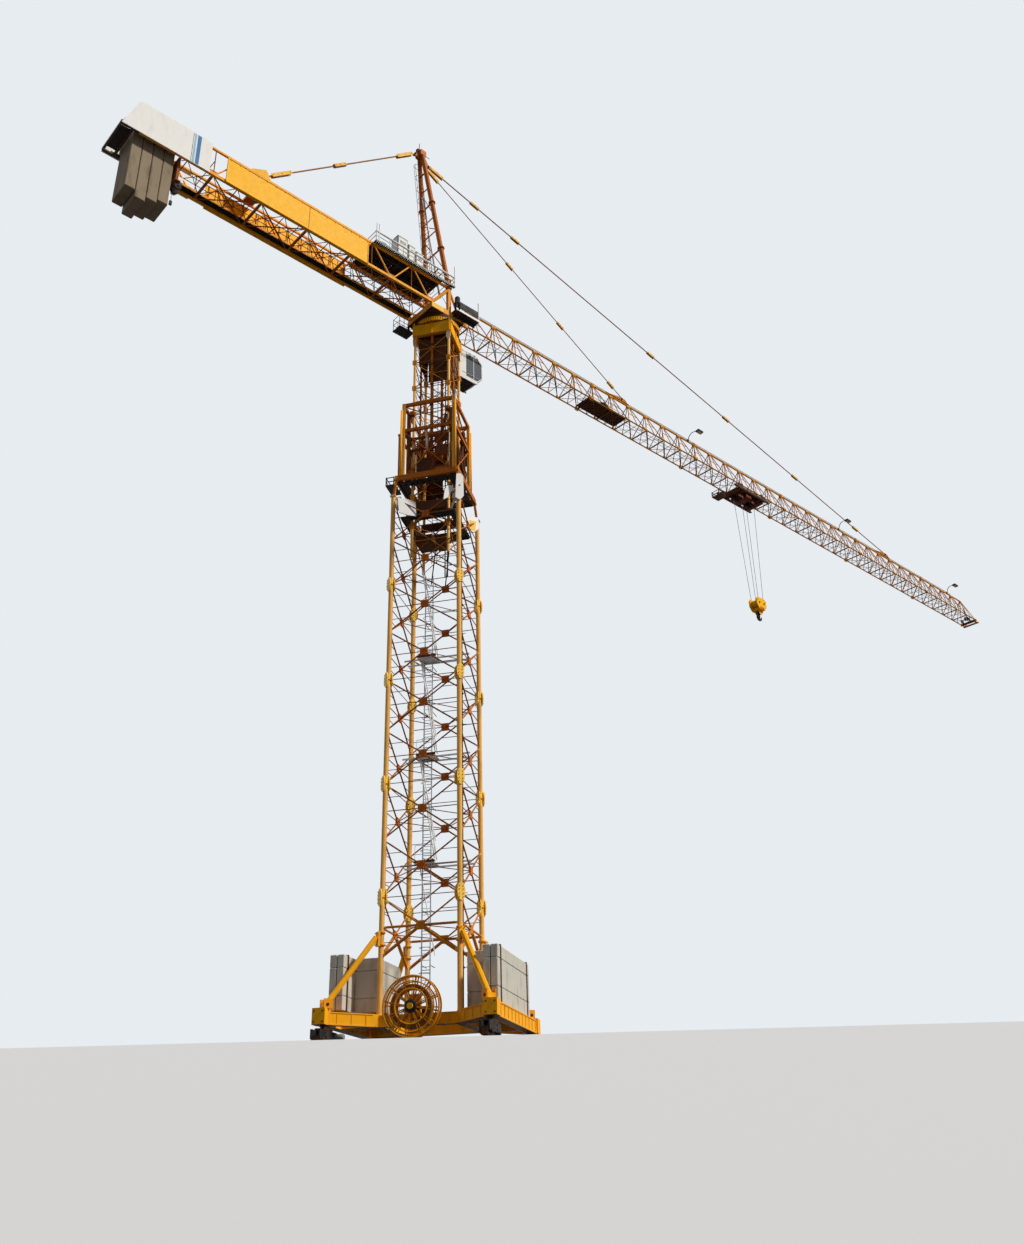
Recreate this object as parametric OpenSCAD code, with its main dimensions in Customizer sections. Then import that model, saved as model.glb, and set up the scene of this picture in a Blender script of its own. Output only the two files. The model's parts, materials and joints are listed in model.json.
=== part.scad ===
// Tower crane with a hammerhead jib, on a rail travelling base, as a 1:10 scale model.
// The jib points along +X. Z is up and zero is the ground under the wheels, on the mast's axis.
// Every size is in millimetres of the model, so ten times that on the real crane.

/* [Mast] */
// Turn of the mast and base about the vertical, against the jib, in degrees
mast_turn = -56; // [-90:1:90]
// Width of the lower mast between leg centres
mast_w = 380; // [340:2:420]
// Height of one lower mast section
section_h = 558; // [520:2:600]
// Diameter of a lower mast leg
leg_d = 26; // [22:1:30]
// Diameter of a lower mast diagonal
brace_d = 8; // [6:0.5:9]
// Width of the inner mast between leg centres
inner_w = 212; // [190:2:230]
// Diameter of an inner mast leg
inner_leg_d = 17; // [14:1:20]

/* [Base] */
// Distance from the mast's axis to the side beams of the chassis
chassis_half = 388; // [370:2:400]
// Height of the chassis beams
beam_h = 62; // [50:2:80]
// Height of the underside of the beams over the ground
beam_z = 90; // [80:2:130]
// Length of a ballast block
ballast_len = 600; // [560:2:610]

/* [Slewing part] */
// Height of the bottom chords of the jib and counter-jib
jib_z = 4298; // [4200:2:4400]
// Height of the apex of the tower top
apex_z = 5634; // [5400:2:5800]
// Distance from the mast's axis back to the apex
apex_back = 152; // [100:2:200]

/* [Jib] */
// Width of the jib between its bottom chords
jib_w = 148; // [130:2:170]
// Height of the jib's triangle
jib_h = 210; // [180:2:230]
// Length of one lattice panel of the jib
panel = 187.3; // [180:0.1:190]
// Number of lattice panels in the jib
panels = 35; // [30:1:36]
// Diameter of the jib's bottom chords
chord_d = 13; // [11:0.5:15]

/* [Counter-jib] */
// Width of the counter-jib between its side girders
cj_w = 220; // [200:2:240]
// Height of the counter-jib's side girders
cj_h = 186; // [170:2:200]
// Length of the counter-jib behind the mast's axis
cj_len = 2130; // [2000:10:2200]

/* [Trolley and hook] */
// Distance from the mast's axis to the trolley
trolley_x = 3100; // [2900:10:3300]
// Height of the top of the hook block
block_z = 3350; // [3000:10:3600]

/* [Hidden] */

orange = "orange";
steel = "dimgray";
concrete = "tan";

half = mast_w / 2;
inner_half = inner_w / 2;
mast_z0 = 113;
sections = 5;
mast_top = mast_z0 + sections * section_h;
beam_top = beam_z + beam_h;
ring_top = 4250;
inner_top = 4096;
inner_bottom = 2552;
cage_half = 152;
cage_top = 3563;
cj_half = cj_w / 2;
deck_z = jib_z + cj_h;
jib_x0 = 560 - 2 * panel;
jib_tip = jib_x0 + panels * panel;
jib_top_z = jib_z + jib_h;
jib_half = jib_w / 2;
round_n = 48;

// A straight bar with flat sides from point p to point q
module bar(p, q, d, n = 6) {
    v = q - p;
    len = norm(v);
    translate(p)
        rotate([0, acos(v.z / len), atan2(v.y, v.x)])
            cylinder(h = len, d = d, $fn = n);
}

// A box given by its middle and its three sizes
module block(c, s) {
    translate(c - s / 2) cube(s);
}

// Turns the mast and the base to their place under the jib
module on_mast() {
    rotate([0, 0, mast_turn]) children();
}

// A flat plate in the XZ plane, from points [x, z], centred on y
module plate_xz(points, y, t) {
    translate([0, y + t / 2, 0]) rotate([90, 0, 0]) linear_extrude(height = t) polygon(points);
}

// A flat plate in the YZ plane, from points [y, z], centred on x
module plate_yz(points, x, t) {
    translate([x - t / 2, 0, 0]) rotate([90, 0, 90]) linear_extrude(height = t) polygon(points);
}

wheel_d = 46;
wheel_w = 22;
bogie_len = 190;
shoe_len = 56;

module rail_bogie() {
    // side plates, cross head and two wheels on a swivel pin under the corner
    for (s = [-1, 1])
        block([0, s * 19, 46], [bogie_len, 8, 40]);
    // rail shoe that stands on the rail between the wheels
    block([0, 0, 33], [shoe_len, 26, 66]);
    translate([0, 0, 62]) cylinder(h = beam_z - 62, d = 34, $fn = round_n);
    for (s = [-1, 1])
        translate([s * 62, 0, wheel_d / 2]) rotate([90, 0, 0]) {
            cylinder(h = wheel_w, d = wheel_d, center = true, $fn = round_n);
            cylinder(h = 60, d = 14, center = true, $fn = round_n);
        }
}

module rail_bogies() {
    color(steel) on_mast()
        for (x = [-1, 1], y = [-1, 1])
            translate([x * (chassis_half - 12), y * (chassis_half - 12), 0])
                rotate([0, 0, 90]) rail_bogie();
}

beam_t = 46;
pad_t = 10;

inner_beam_t = 40;
inner_beam_h = beam_h - 12;

module chassis_frame() {
    reach = chassis_half + beam_t / 2;
    mid = beam_z + beam_h / 2;
    color(orange) on_mast() {
        difference() {
            union() {
                for (s = [-1, 1]) {
                    // side beam along the rail
                    block([s * chassis_half, 0, mid], [beam_t, 2 * reach, beam_h]);
                    // inner beams that carry the mast legs
                    block([0, s * half, mid - 6], [2 * chassis_half, inner_beam_t, inner_beam_h]);
                    block([s * half, 0, mid - 6], [inner_beam_t, 2 * half, inner_beam_h]);
                }
                // arms from the mast legs out to the corners
                for (i = [0:3])
                    rotate([0, 0, 90 * i + 45])
                        block([(half + chassis_half) / 2 * sqrt(2), 0, mid - 3],
                            [(chassis_half - half) * sqrt(2), 34, beam_h - 6]);
                // corner end plates
                for (x = [-1, 1], y = [-1, 1])
                    block([x * chassis_half, y * chassis_half, mid + 4],
                        [beam_t + 14, beam_t + 14, beam_h + 8]);
            }
            // seats of the mast legs
            for (x = [-1, 1], y = [-1, 1])
                translate([x * half, y * half, mast_z0])
                    cylinder(h = beam_h, d = leg_d + 1, $fn = 12);
        }
        reel_bracket();
    }
}

strut_top = 484;

module corner_struts() {
    foot = chassis_half - 14;
    plate_z = beam_top + 8;
    // half of the leg's width across its flat sides, where the collar plate lies on it
    leg_flat = leg_d / 2 * cos(15);
    color(orange) on_mast()
        for (i = [0:3])
            rotate([0, 0, 90 * i + 45]) {
                lo = [foot * sqrt(2), 0, plate_z + 14];
                hi = [half * sqrt(2) + leg_flat + 15, 0, strut_top];
                bar(lo, hi, 27, 8);
                // clevis block on the chassis corner and collar plate on the leg
                translate([foot * sqrt(2), 0, plate_z + 12]) cube([38, 38, 24], center = true);
                block([half * sqrt(2) + leg_flat + 5, 0, strut_top - 6], [10, 30, 66]);
            }
}

// heights of the three courses of ballast blocks
courses = [64, 122, 58];
block_gap = 3;
bearer_h = 8;
ballast_in = 326;
ballast_out = 394;
ballast_z = beam_top + bearer_h;
// the wide blocks between the side stack and the mast leg, clear of the struts
wide_in = 212;
wide_len = 320;

module ballast_stack(side) {
    w = (ballast_out - ballast_in - block_gap) / 2;
    wide_mid = side * (wide_in + ballast_in) / 2;
    for (i = [0:2]) {
        z = ballast_z + (i > 0 ? courses[0] : 0) + (i > 1 ? courses[1] : 0);
        block([wide_mid, 0, z + courses[i] / 2 - 0.2], [ballast_in - wide_in - block_gap, wide_len, courses[i] - 0.4]);
        block([side * ballast_in, 0, z + courses[i] / 2], [2 * block_gap + 2, wide_len - 20, courses[i]]);
        for (k = [0, 1]) {
            x = side > 0 ? ballast_in + k * (w + block_gap) : -ballast_out + k * (w + block_gap);
            translate([x, -ballast_len / 2, z]) cube([w, ballast_len, courses[i] - 0.4]);
        }
        // mortar joint that keeps the two blocks of a course together
        block([side * (ballast_in + ballast_out) / 2, 0, z + courses[i] / 2],
            [block_gap + 2, ballast_len - 20, courses[i]]);
    }
    // bearers between the beams and the lowest blocks
    for (y = [-half, half])
        block([side * (ballast_in + ballast_out) / 2, y, ballast_z - bearer_h / 2],
            [ballast_out - ballast_in, 36, bearer_h]);
    bearer_in = half - 14;
    for (y = [-120, 120]) {
        block([side * (bearer_in + ballast_in + 10) / 2, y, ballast_z - bearer_h / 2],
            [ballast_in + 10 - bearer_in, 30, bearer_h]);
        block([side * half, y, ballast_z - bearer_h - 6], [28, 30, 12]);
    }
}

module ballast_left() {
    color(concrete) on_mast() ballast_stack(-1);
}

module ballast_right() {
    color(concrete) on_mast() ballast_stack(1);
}

reel_r = 129;
reel_x = 54;
reel_y = -456;
reel_z = 136;
reel_inner = 0.58;
reel_w = 36;
shaft_d = 14;

module ring(r, d, w) {
    rotate([90, 0, 0])
        difference() {
            cylinder(h = w, r = r, center = true, $fn = round_n);
            cylinder(h = w + 2, r = r - d, center = true, $fn = round_n);
        }
}

module reel_bracket() {
    back = -chassis_half - beam_t / 2;
    arm_end = -half - inner_beam_t / 2 + 5;
    // two channels from the inner beam, head plate, axle and end stop
    for (s = [-1, 1])
        block([reel_x + s * 24, (back + arm_end) / 2, beam_z + 22], [12, arm_end - back, 40]);
    block([reel_x, back - 8, reel_z - 16], [60, 16, 70]);
    translate([reel_x, back - 16, reel_z]) rotate([90, 0, 0]) {
        cylinder(h = -reel_y + back + reel_w / 2 - 2, d = shaft_d, $fn = round_n);
        translate([0, 0, -reel_y + back + reel_w / 2 - 8])
            cylinder(h = 6, d = shaft_d + 12, $fn = round_n);
    }
}

module cable_reel() {
    rim = 7;
    color(orange) on_mast() translate([reel_x, reel_y, reel_z]) {
        for (s = [-1, 1]) translate([0, s * (reel_w / 2 - 3), 0]) {
            ring(reel_r, rim, 5);
            ring(reel_r * reel_inner, rim, 5);
            for (i = [0:11])
                rotate([0, 30 * i + 11, 0])
                    block([reel_r / 2 + 4, 0, 0], [reel_r - 16, 4, 5]);
        }
        // drum that the cable lies on
        ring(reel_r * reel_inner - 1, 4, reel_w - 6);
        // hub with its bore
        rotate([90, 0, 0])
            difference() {
                cylinder(h = reel_w - 8, d = 34, center = true, $fn = round_n);
                cylinder(h = reel_w, d = shaft_d + 0.12, center = true, $fn = round_n);
            }
    }
}

// The lower mast

function oval(a, b, from, to, n) =
    [for (i = [0:n]) let (t = from + (to - from) * i / n) [a * cos(t), b * sin(t)]];

// Half of the oval joint plates at one end of a leg; up = 1 for a lower end, -1 for an upper end
module half_plates(w, leg, up, a, b) {
    r = leg / 2;
    for (x = [-1, 1], y = [-1, 1])
        translate([x * w, y * w, 0])
            rotate([0, 0, atan2(y, x)])
                for (s = [-1, 1])
                    plate_yz(oval(a, b * up, 0, 180, 8), s * (r + 0.5), 5);
}

// One face of bracing with diamond diagonals, on the side y = -w; from = 1 leaves out the lower half
module face_bracing(w, z0, h, leg, d, rail, plate, from) {
    in_leg = w - leg / 4;
    for (k = [from:1]) {
        lo = z0 + k * h / 2;
        mid = lo + h / 4;
        hi = lo + h / 2;
        slope = (h / 4) / w;
        px = plate * 0.6;
        heavy = from == 1 ? 2 * d : d;
        for (s = [-1, 1]) {
            bar([s * in_leg, -w, lo + 9], [s * px, -w, mid - px * slope - 1], heavy);
            bar([s * px, -w, mid + px * slope + 1], [s * in_leg, -w, hi - 9], d);
            bar([s * px, -w, mid], [s * in_leg, -w, mid], rail);
        }
        block([0, -w, mid], [2 * plate, d + 2, 2 * plate]);
    }
}

module lattice_section(w, z0, h, leg, d, rail, plate, from) {
    for (x = [-1, 1], y = [-1, 1])
        translate([x * w, y * w, z0]) cylinder(h = h, d = leg, $fn = 12);
    for (i = [0:3])
        rotate([0, 0, 90 * i]) face_bracing(w, z0, h, leg, d, rail, plate, from);
}

module mast_section(i) {
    z0 = mast_z0 + i * section_h;
    color(orange) on_mast() {
        lattice_section(half, z0, section_h, leg_d, brace_d, i == 0 ? 12 : 5, 20, i == 0 ? 1 : 0);
        if (i > 0) translate([0, 0, z0]) half_plates(half, leg_d, 1, 21, 43);
        if (i < sections - 1)
            translate([0, 0, z0 + section_h]) half_plates(half, leg_d, -1, 21, 43);
    }
}

module mast_section_1() { mast_section(0); }
module mast_section_2() { mast_section(1); }
module mast_section_3() { mast_section(2); }
module mast_section_4() { mast_section(3); }
module mast_section_5() { mast_section(4); }

ladder_w = 42;
// height of the rest platforms over the foot of their mast section
rest_rise = 205;

module mast_ladder() {
    top = inner_bottom - 15;
    color(steel) on_mast() {
        // stiles and rungs inside the near face, with small rest platforms
        for (s = [-1, 1])
            bar([-70 + s * ladder_w / 2, 110, beam_top + 6], [-70 + s * ladder_w / 2, 110, top], 5, 4);
        for (z = [beam_top + 40:93:top - 30])
            bar([-70 - ladder_w / 2, 110, z], [-70 + ladder_w / 2, 110, z], 4, 4);
        for (i = [1:sections - 2])
            block([-54, 64, mast_z0 + i * section_h + rest_rise], [104, 88, 5]);
        // bearers that carry the platforms on the mast's bracing
        for (i = [1:sections - 2], y = [30, 96])
            block([0, y, mast_z0 + i * section_h + rest_rise - 6], [mast_w - 16, 6, 8]);
    }
}

module mast_cable() {
    color("black") on_mast()
        translate([half - 24, -60, beam_top + 4])
            cylinder(h = mast_top - beam_top - 90, d = 9, $fn = round_n);
}

// The inner mast and the climbing gear

inner_panel = 192;

module inner_face(w, z0, n) {
    in_leg = w - inner_leg_d / 4;
    for (i = [0:n - 1]) {
        z = z0 + i * inner_panel;
        flip = i % 2 == 0 ? 1 : -1;
        bar([-flip * in_leg, -w, z + 8], [flip * in_leg, -w, z + inner_panel - 10], 6);
        bar([-in_leg, -w, z + inner_panel], [in_leg, -w, z + inner_panel], 5);
    }
}

module inner_mast() {
    n = floor((inner_top - inner_bottom) / inner_panel);
    color(orange) on_mast() {
        for (x = [-1, 1], y = [-1, 1])
            translate([x * inner_half, y * inner_half, inner_bottom])
                cylinder(h = inner_top - inner_bottom, d = inner_leg_d, $fn = 12);
        for (i = [0:3])
            rotate([0, 0, 90 * i]) inner_face(inner_half, inner_bottom, n);
    }
}

module square_ring(w, z, t, h) {
    for (s = [-1, 1]) {
        block([0, s * w, z], [2 * w + t, t, h]);
        block([s * w, 0, z], [t, 2 * w + t, h]);
    }
}

module climbing_cage() {
    low = mast_top + 110;
    mid = 3373;
    foot_half = 180;
    color(orange) on_mast() {
        square_ring(cage_half, cage_top - 10, 14, 20);
        square_ring(cage_half, mid, 12, 20);
        // wide lower ring of four beams, with plates that carry the posts
        square_ring(foot_half, low + 17, 14, 34);
        for (x = [-1, 1], y = [-1, 1])
            block([x * (cage_half + foot_half) / 2, y * (cage_half + foot_half) / 2, low + 6],
                [foot_half - cage_half + 18, foot_half - cage_half + 18, 12]);
        for (x = [-1, 1], y = [-1, 1]) {
            block([x * cage_half, y * cage_half, (low + cage_top) / 2], [18, 18, cage_top - low]);
            // flared feet down to the legs of the lower mast
            bar([x * (foot_half - 2), y * (foot_half - 2), low + 20],
                [x * (half - 2), y * (half - 2), mast_top + 16], 18, 4);
        }
        // side bracing of the cage, left open on the side where a section goes in
        for (i = [0, 1, 2])
            rotate([0, 0, 90 * i]) {
                bar([-cage_half, -cage_half, low + 30], [cage_half, -cage_half, mid - 4], 8);
                bar([cage_half, -cage_half, low + 30], [-cage_half, -cage_half, mid - 4], 8);
                bar([cage_half, -cage_half, mid + 4], [-cage_half, -cage_half, cage_top - 16], 8);
            }
        // outrigger frame for the next section
        for (y = [-1, 1]) {
            bar([-half, y * 120, low + 10], [-half, y * 120, mid], 10, 4);
            block([-(half + cage_half) / 2, y * 120, mid], [half - cage_half, 12, 12]);
        }
        block([-half, 0, mid], [12, 252, 12]);
        // guide channels and cross beam of the jacking gear inside the cage
        for (y = [-1, 1])
            bar([-cage_half + 8, y * 128, low + 24], [cage_half - 8, y * 128, mid + 90], 14, 4);
        for (x = [-1, 1])
            block([x * 130, 0, mid - 150], [8, 2 * cage_half - 16, 60]);
    }
}

module railing(x0, x1, y0, y1, z, h, open_side) {
    post = 5;
    for (x = [x0, x1], y = [y0, y1])
        translate([x - post / 2, y - post / 2, z]) cube([post, post, h]);
    for (k = [0.5, 1]) {
        zz = z + h * k - 4;
        if (open_side != 1) block([(x0 + x1) / 2, y0, zz], [x1 - x0, 4, 4]);
        if (open_side != 2) block([(x0 + x1) / 2, y1, zz], [x1 - x0, 4, 4]);
        if (open_side != 3) block([x0, (y0 + y1) / 2, zz], [4, y1 - y0, 4]);
        if (open_side != 4) block([x1, (y0 + y1) / 2, zz], [4, y1 - y0, 4]);
    }
}

module frame_floor(z, outer, inner) {
    difference() {
        block([0, 0, z], [2 * outer, 2 * outer, 6]);
        block([0, 0, z], [2 * inner, 2 * inner, 10]);
    }
}

module cage_platform() {
    ring_z = mast_top + 110;
    out_x = -half - 36;
    color(steel) on_mast() {
        // working floor on the lower ring of the cage, and one inside the top of the mast
        frame_floor(ring_z - 3, 168, 122);
        frame_floor(mast_top - 122, 158, 120);
        // small bracket platform with a rail outside the ring
        block([out_x, -96, ring_z + 3], [72 - 14, 110, 6]);
        railing(out_x - 26, out_x + 20, -148, -44, ring_z + 6, 52, 4);
    }
}

module mast_collar() {
    z = mast_top;
    color("white") on_mast() {
        // four corner shoes that hold the inner mast on the lower one
        for (x = [-1, 1], y = [-1, 1]) {
            block([x * (half - 26), y * (half - 26), z - 30], [28, 28, 76]);
            bar([x * (half - 26), y * (half - 26), z - 44],
                [x * (inner_half + 12), y * (inner_half + 12), z - 104], 14, 6);
        }
        square_ring(inner_half + 20, z - 104, 12, 30);
    }
}

module tower_head() {
    z0 = inner_top;
    h = 94;
    color(orange) on_mast() {
        difference() {
            union() {
                block([0, 0, z0 + h / 2], [inner_w + 24, inner_w + 24, h]);
                translate([0, 0, z0 + h - 6]) cylinder(h = 24, d = 276, $fn = round_n);
            }
            block([0, 0, z0 + h / 2 - 10], [inner_w - 20, inner_w - 20, h + 2]);
            translate([0, 0, z0]) cylinder(h = h + 40, d = 190, $fn = round_n);
        }
        // stiffening ribs on the outside of the head box
        for (i = [0:3])
            rotate([0, 0, 90 * i])
                for (x = [-110, 0, 110])
                    block([x, -inner_half - 14, z0 + h / 2], [8, 6, h]);
    }
}

// The slewing part

platform_x0 = -140;
platform_x1 = 115;

module slewing_platform() {
    z0 = 4209;
    top = jib_z - 8;
    foot = deck_z - 11;
    color(orange) {
        difference() {
            union() {
                translate([0, 0, z0]) cylinder(h = ring_top - z0, d = 250, $fn = round_n);
                block([(platform_x0 + platform_x1) / 2, 0, (ring_top + top) / 2],
                    [platform_x1 - platform_x0, cj_w + 20, top - ring_top]);
            }
            translate([0, 0, z0 - 1]) cylinder(h = 160, d = 170, $fn = round_n);
        }
        for (y = [-1, 1]) {
            // post under the tower top's foot, and the two braces of the V on either side
            block([0, y * cj_half, (top + foot) / 2], [22, 22, foot - top]);
            bar([86, y * cj_half, top - 6], [6, y * cj_half, foot - 9], 16, 8);
            bar([platform_x0 + 8, y * cj_half, top + 4], [-6, y * cj_half, foot - 12], 20, 8);
            // lug that the counter-jib's bottom chord is pinned to
            block([platform_x0 + 8, y * cj_half, jib_z], [18, 16, 22]);
            // hinge block for the foot of the jib
            block([jib_x0 - 40, y * jib_half, jib_z - 2], [66, 12, 24]);
        }
        block([platform_x1 - 5, 0, jib_z - 12], [14, cj_w, 30]);
    }
}

cabin_x0 = 200;
cabin_len = 200;
cabin_y0 = 36;
cabin_w = 122;
cabin_z0 = 3996;
cabin_h = 226;

function cabin_side(t) = [
    [cabin_x0 + t, cabin_z0 + t], [cabin_x0 + cabin_len - 62, cabin_z0 + t],
    [cabin_x0 + cabin_len - t, cabin_z0 + 66], [cabin_x0 + cabin_len - t, cabin_z0 + cabin_h - 52],
    [cabin_x0 + cabin_len - 46, cabin_z0 + cabin_h - t], [cabin_x0 + t, cabin_z0 + cabin_h - t]];

module operator_cabin() {
    wall = 5;
    mid_y = cabin_y0 + cabin_w / 2;
    color("white") {
        difference() {
            plate_xz(cabin_side(0), mid_y, cabin_w);
            plate_xz(cabin_side(wall), mid_y, cabin_w - 2 * wall);
            // windows in the front, the roof light and both sides
            block([cabin_x0 + cabin_len - 2, mid_y, cabin_z0 + 118], [12, cabin_w - 24, 90]);
            for (y = [cabin_y0, cabin_y0 + cabin_w])
                block([cabin_x0 + 142, y, cabin_z0 + 124], [76, 12, 88]);
            block([cabin_x0 + 40, cabin_y0 + cabin_w, cabin_z0 + 96], [52, 12, 150]);
        }
        // hanger that carries the cabin under the platform
        block([cabin_x0 + 30, mid_y, cabin_z0 + cabin_h + 20], [50, 60, 44]);
        block([(cabin_x0 + platform_x1) / 2 + 18, mid_y, cabin_z0 + cabin_h + 34],
            [cabin_x0 - platform_x1 + 36, 20, 14]);
    }
}

module cabin_walkway() {
    z = jib_z - 11;
    side = cj_half + 10;
    color(steel) {
        // walkway beside the foot of the jib, on the near side
        block([112, -side - 22, z], [186, 44, 6]);
        railing(22, 202, -side - 40, -side - 3, z + 3, 76, 2);
        block([202, -side - 40, z + 60], [6, 6, 168]);
        // small railed platform behind the ring, on the far side
        block([-150, side + 34, jib_z - 80], [110, 76, 6]);
        block([-132, side + 3, jib_z - 52], [14, 6, 62]);
        railing(-202, -98, side + 4, side + 68, jib_z - 77, 92, 1);
    }
}

apex_half = 16;

module tower_top() {
    foot_z = deck_z + 6;
    leg = 32;
    color(orange) {
        for (y = [-1, 1]) {
            bar([0, y * cj_half, foot_z], [-apex_back, y * apex_half, apex_z], leg, 8);
            block([0, y * cj_half, foot_z], [34, 20, 34]);
        }
        // rungs that tie the two legs
        for (t = [0.28, 0.62, 0.86])
            bar([-apex_back * t, -cj_half + (cj_half - apex_half) * t, foot_z + (apex_z - foot_z) * t],
                [-apex_back * t, cj_half - (cj_half - apex_half) * t, foot_z + (apex_z - foot_z) * t],
                11, 8);
        // head plates, cap and the aerial
        block([-apex_back, 0, apex_z + 4], [44, 60, 44]);
        plate_xz([[-apex_back - 62, apex_z - 34], [-apex_back - 22, apex_z + 14],
            [-apex_back + 22, apex_z + 14], [-apex_back + 70, apex_z - 66],
            [-apex_back + 40, apex_z - 84], [-apex_back - 12, apex_z - 40]], 0, 12);
        translate([-apex_back - 14, 0, apex_z + 20]) cylinder(h = 84, d = 5, $fn = round_n);
        // ladder stiles behind the legs
        for (y = [-1, 1])
            bar([-46, y * 20, deck_z + 8], [-apex_back - 18, y * 12, apex_z - 10], 5, 4);
    }
}

cj_node = -144;
cj_pitch = 293.8;
cj_panels = 6;
cj_tail_top = 2044;

module girder_side(y) {
    for (i = [0:cj_panels]) {
        x = cj_node - i * cj_pitch;
        last = i == cj_panels;
        peak = last ? -cj_tail_top + 8 : x - cj_pitch / 2;
        bar([x - 6, y, jib_z], [peak + 5, y, deck_z], 9);
        if (!last) bar([peak - 5, y, deck_z], [x - cj_pitch + 6, y, jib_z], 9);
    }
}

module counter_jib_frame() {
    root = -platform_x0 + 1;
    top_root = 17;
    cross = 14;
    color(orange) {
        for (y = [-cj_half, cj_half]) {
            block([-(cj_len + root) / 2, y, jib_z], [cj_len - root, 14, 18]);
            block([-(cj_tail_top + top_root) / 2, y, deck_z - 4], [cj_tail_top - top_root, 12, 12]);
            girder_side(y);
            // sloping post at the tail
            bar([-cj_len + 8, y, jib_z], [-cj_tail_top + 4, y, deck_z - 4], 13, 8);
        }
        // cross members of the bottom, left out where the counterweights hang
        for (x = [1:cj_panels - 1])
            block([cj_node - x * cj_pitch, 0, jib_z], [12, cj_w, cross]);
        for (x = [-cj_len + 6, -cj_len + 66, -1796])
            block([x, 0, jib_z], [12, cj_w, cross]);
        for (i = [0:cj_panels - 2]) {
            x = cj_node - i * cj_pitch;
            bar([x, -cj_half + 2, jib_z + 1], [x - cj_pitch, cj_half - 2, jib_z + 1], 7);
            bar([x, cj_half - 2, jib_z - 1], [x - cj_pitch, -cj_half + 2, jib_z - 1], 7);
        }
        // cross beam and lug for the rear tie
        block([-1300, 0, deck_z - 2], [60, cj_w, 20]);
        plate_xz([[-1376, deck_z], [-1240, deck_z], [-1228, deck_z + 140], [-1258, deck_z + 196],
            [-1346, deck_z + 148], [-1366, deck_z + 110]], 0, 12);
    }
}

panel_low = jib_z - 13;

module yellow_side_panels() {
    top = deck_z - 22;
    color("gold")
        for (s = [-1, 1])
            block([-1083, s * (cj_half + 11), (panel_low + top) / 2], [928, 4, top - panel_low]);
}

module white_side_panels() {
    front = -cj_len + 488;
    top = deck_z + 15;
    color("white")
        for (s = [-1, 1])
            plate_xz([[front, panel_low], [front, top], [-cj_len + 92, top],
                [-cj_len + 76, top - 8], [-cj_len + 2, panel_low]], s * (cj_half + 11), 4);
}

// bottom heights of the four counterweight slabs, from the tail inwards
slab_low = [3944, 3902, 3934, 3958];
slab_t = 50;
slab_pitch = 58;

module counterweight(i) {
    x = -2044 + i * slab_pitch + slab_t / 2;
    body_w = 150;
    ear_z = jib_z + 9.5;
    color(concrete) {
        block([x, 0, (slab_low[i] + ear_z + 30) / 2], [slab_t, body_w, ear_z + 30 - slab_low[i]]);
        block([x, 0, ear_z + 20], [slab_t, cj_w - 10, 40]);
    }
}

module counterweight_1() { counterweight(0); }
module counterweight_2() { counterweight(1); }
module counterweight_3() { counterweight(2); }
module counterweight_4() { counterweight(3); }

module machinery_deck() {
    color(steel) {
        difference() {
            block([-275, 0, deck_z + 5], [610, cj_w + 60, 6]);
            // well for the tower top's feet and the climbing way
            block([-10, 0, deck_z + 5], [110, cj_w + 30, 10]);
        }
        railing(-576, 26, -cj_half - 26, cj_half + 26, deck_z + 8, 78, 0);
        for (x = [-426, -276, -126], y = [-1, 1])
            block([x, y * (cj_half + 26), deck_z + 46], [5, 5, 76]);
    }
}

winch_x = -478;

module hoist_winch() {
    z = deck_z + 8;
    color("gray") {
        block([winch_x, 0, z + 8], [190, 170, 16]);
        for (y = [-1, 1])
            block([winch_x + 10, y * 66, z + 50], [100, 10, 80]);
        translate([winch_x + 10, 0, z + 58]) rotate([90, 0, 0]) {
            cylinder(h = 122, d = 76, center = true, $fn = round_n);
            for (s = [-1, 1])
                translate([0, 0, s * 56]) cylinder(h = 8, d = 104, center = true, $fn = round_n);
        }
        // motor behind the drum
        translate([winch_x - 65, 0, z + 42]) rotate([90, 0, 0])
            cylinder(h = 110, d = 52, center = true, $fn = round_n);
    }
}

// middle x, middle y, length, width and height of each cabinet on the deck
cabinets = [[-334, -38, 78, 72, 228], [-262, -40, 52, 62, 206], [-196, -42, 60, 52, 190],
    [-122, 60, 80, 60, 120]];

module control_cabinets() {
    color("lightgray")
        for (c = cabinets)
            block([c[0], c[1], deck_z + 8 + c[4] / 2], [c[2], c[3], c[4]]);
}

module bottom_walkway() {
    z = jib_z + 9;
    color(steel) {
        // walkway along the far half of the bottom, and the floor of the tail
        block([-974, 84.5, z], [1652, 37, 4]);
        block([-cj_len + 41, 0, z], [70, 2 * 85, 4]);
    }
}

// A tie: round rod with link plates along it
module tie(p, q, d, links, plate_len, plate_h) {
    bar(p, q, d, 12);
    v = q - p;
    a = atan2(v.z, v.x);
    for (t = links)
        translate(p + v * t)
            rotate([0, -a, 0])
                block([0, 0, 0], [plate_len, d + 6, plate_h]);
}

module rear_tie() {
    color(orange)
        tie([-1250, 0, deck_z + 155], [-apex_back - 66, 0, apex_z - 30], 9, [0.085, 0.46, 0.93], 110, 22);
}

outer_end = 5290;
inner_end = 1730;
tie_z = jib_top_z + 22;

module front_tie_outer() {
    p = [-apex_back + 66, 0, apex_z - 58];
    color(orange)
        tie(p, [outer_end, 0, tie_z + 12], 8, [0.012, 0.075, 0.145, 0.407, 0.575, 0.745, 0.91],
            70, 18);
}

module front_tie_inner() {
    p = [-apex_back + 52, 0, apex_z - 90];
    color(orange)
        tie(p, [inner_end, 0, tie_z + 12], 6, [0.03, 0.4, 0.66, 0.93], 60, 16);
}

// The jib

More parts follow.
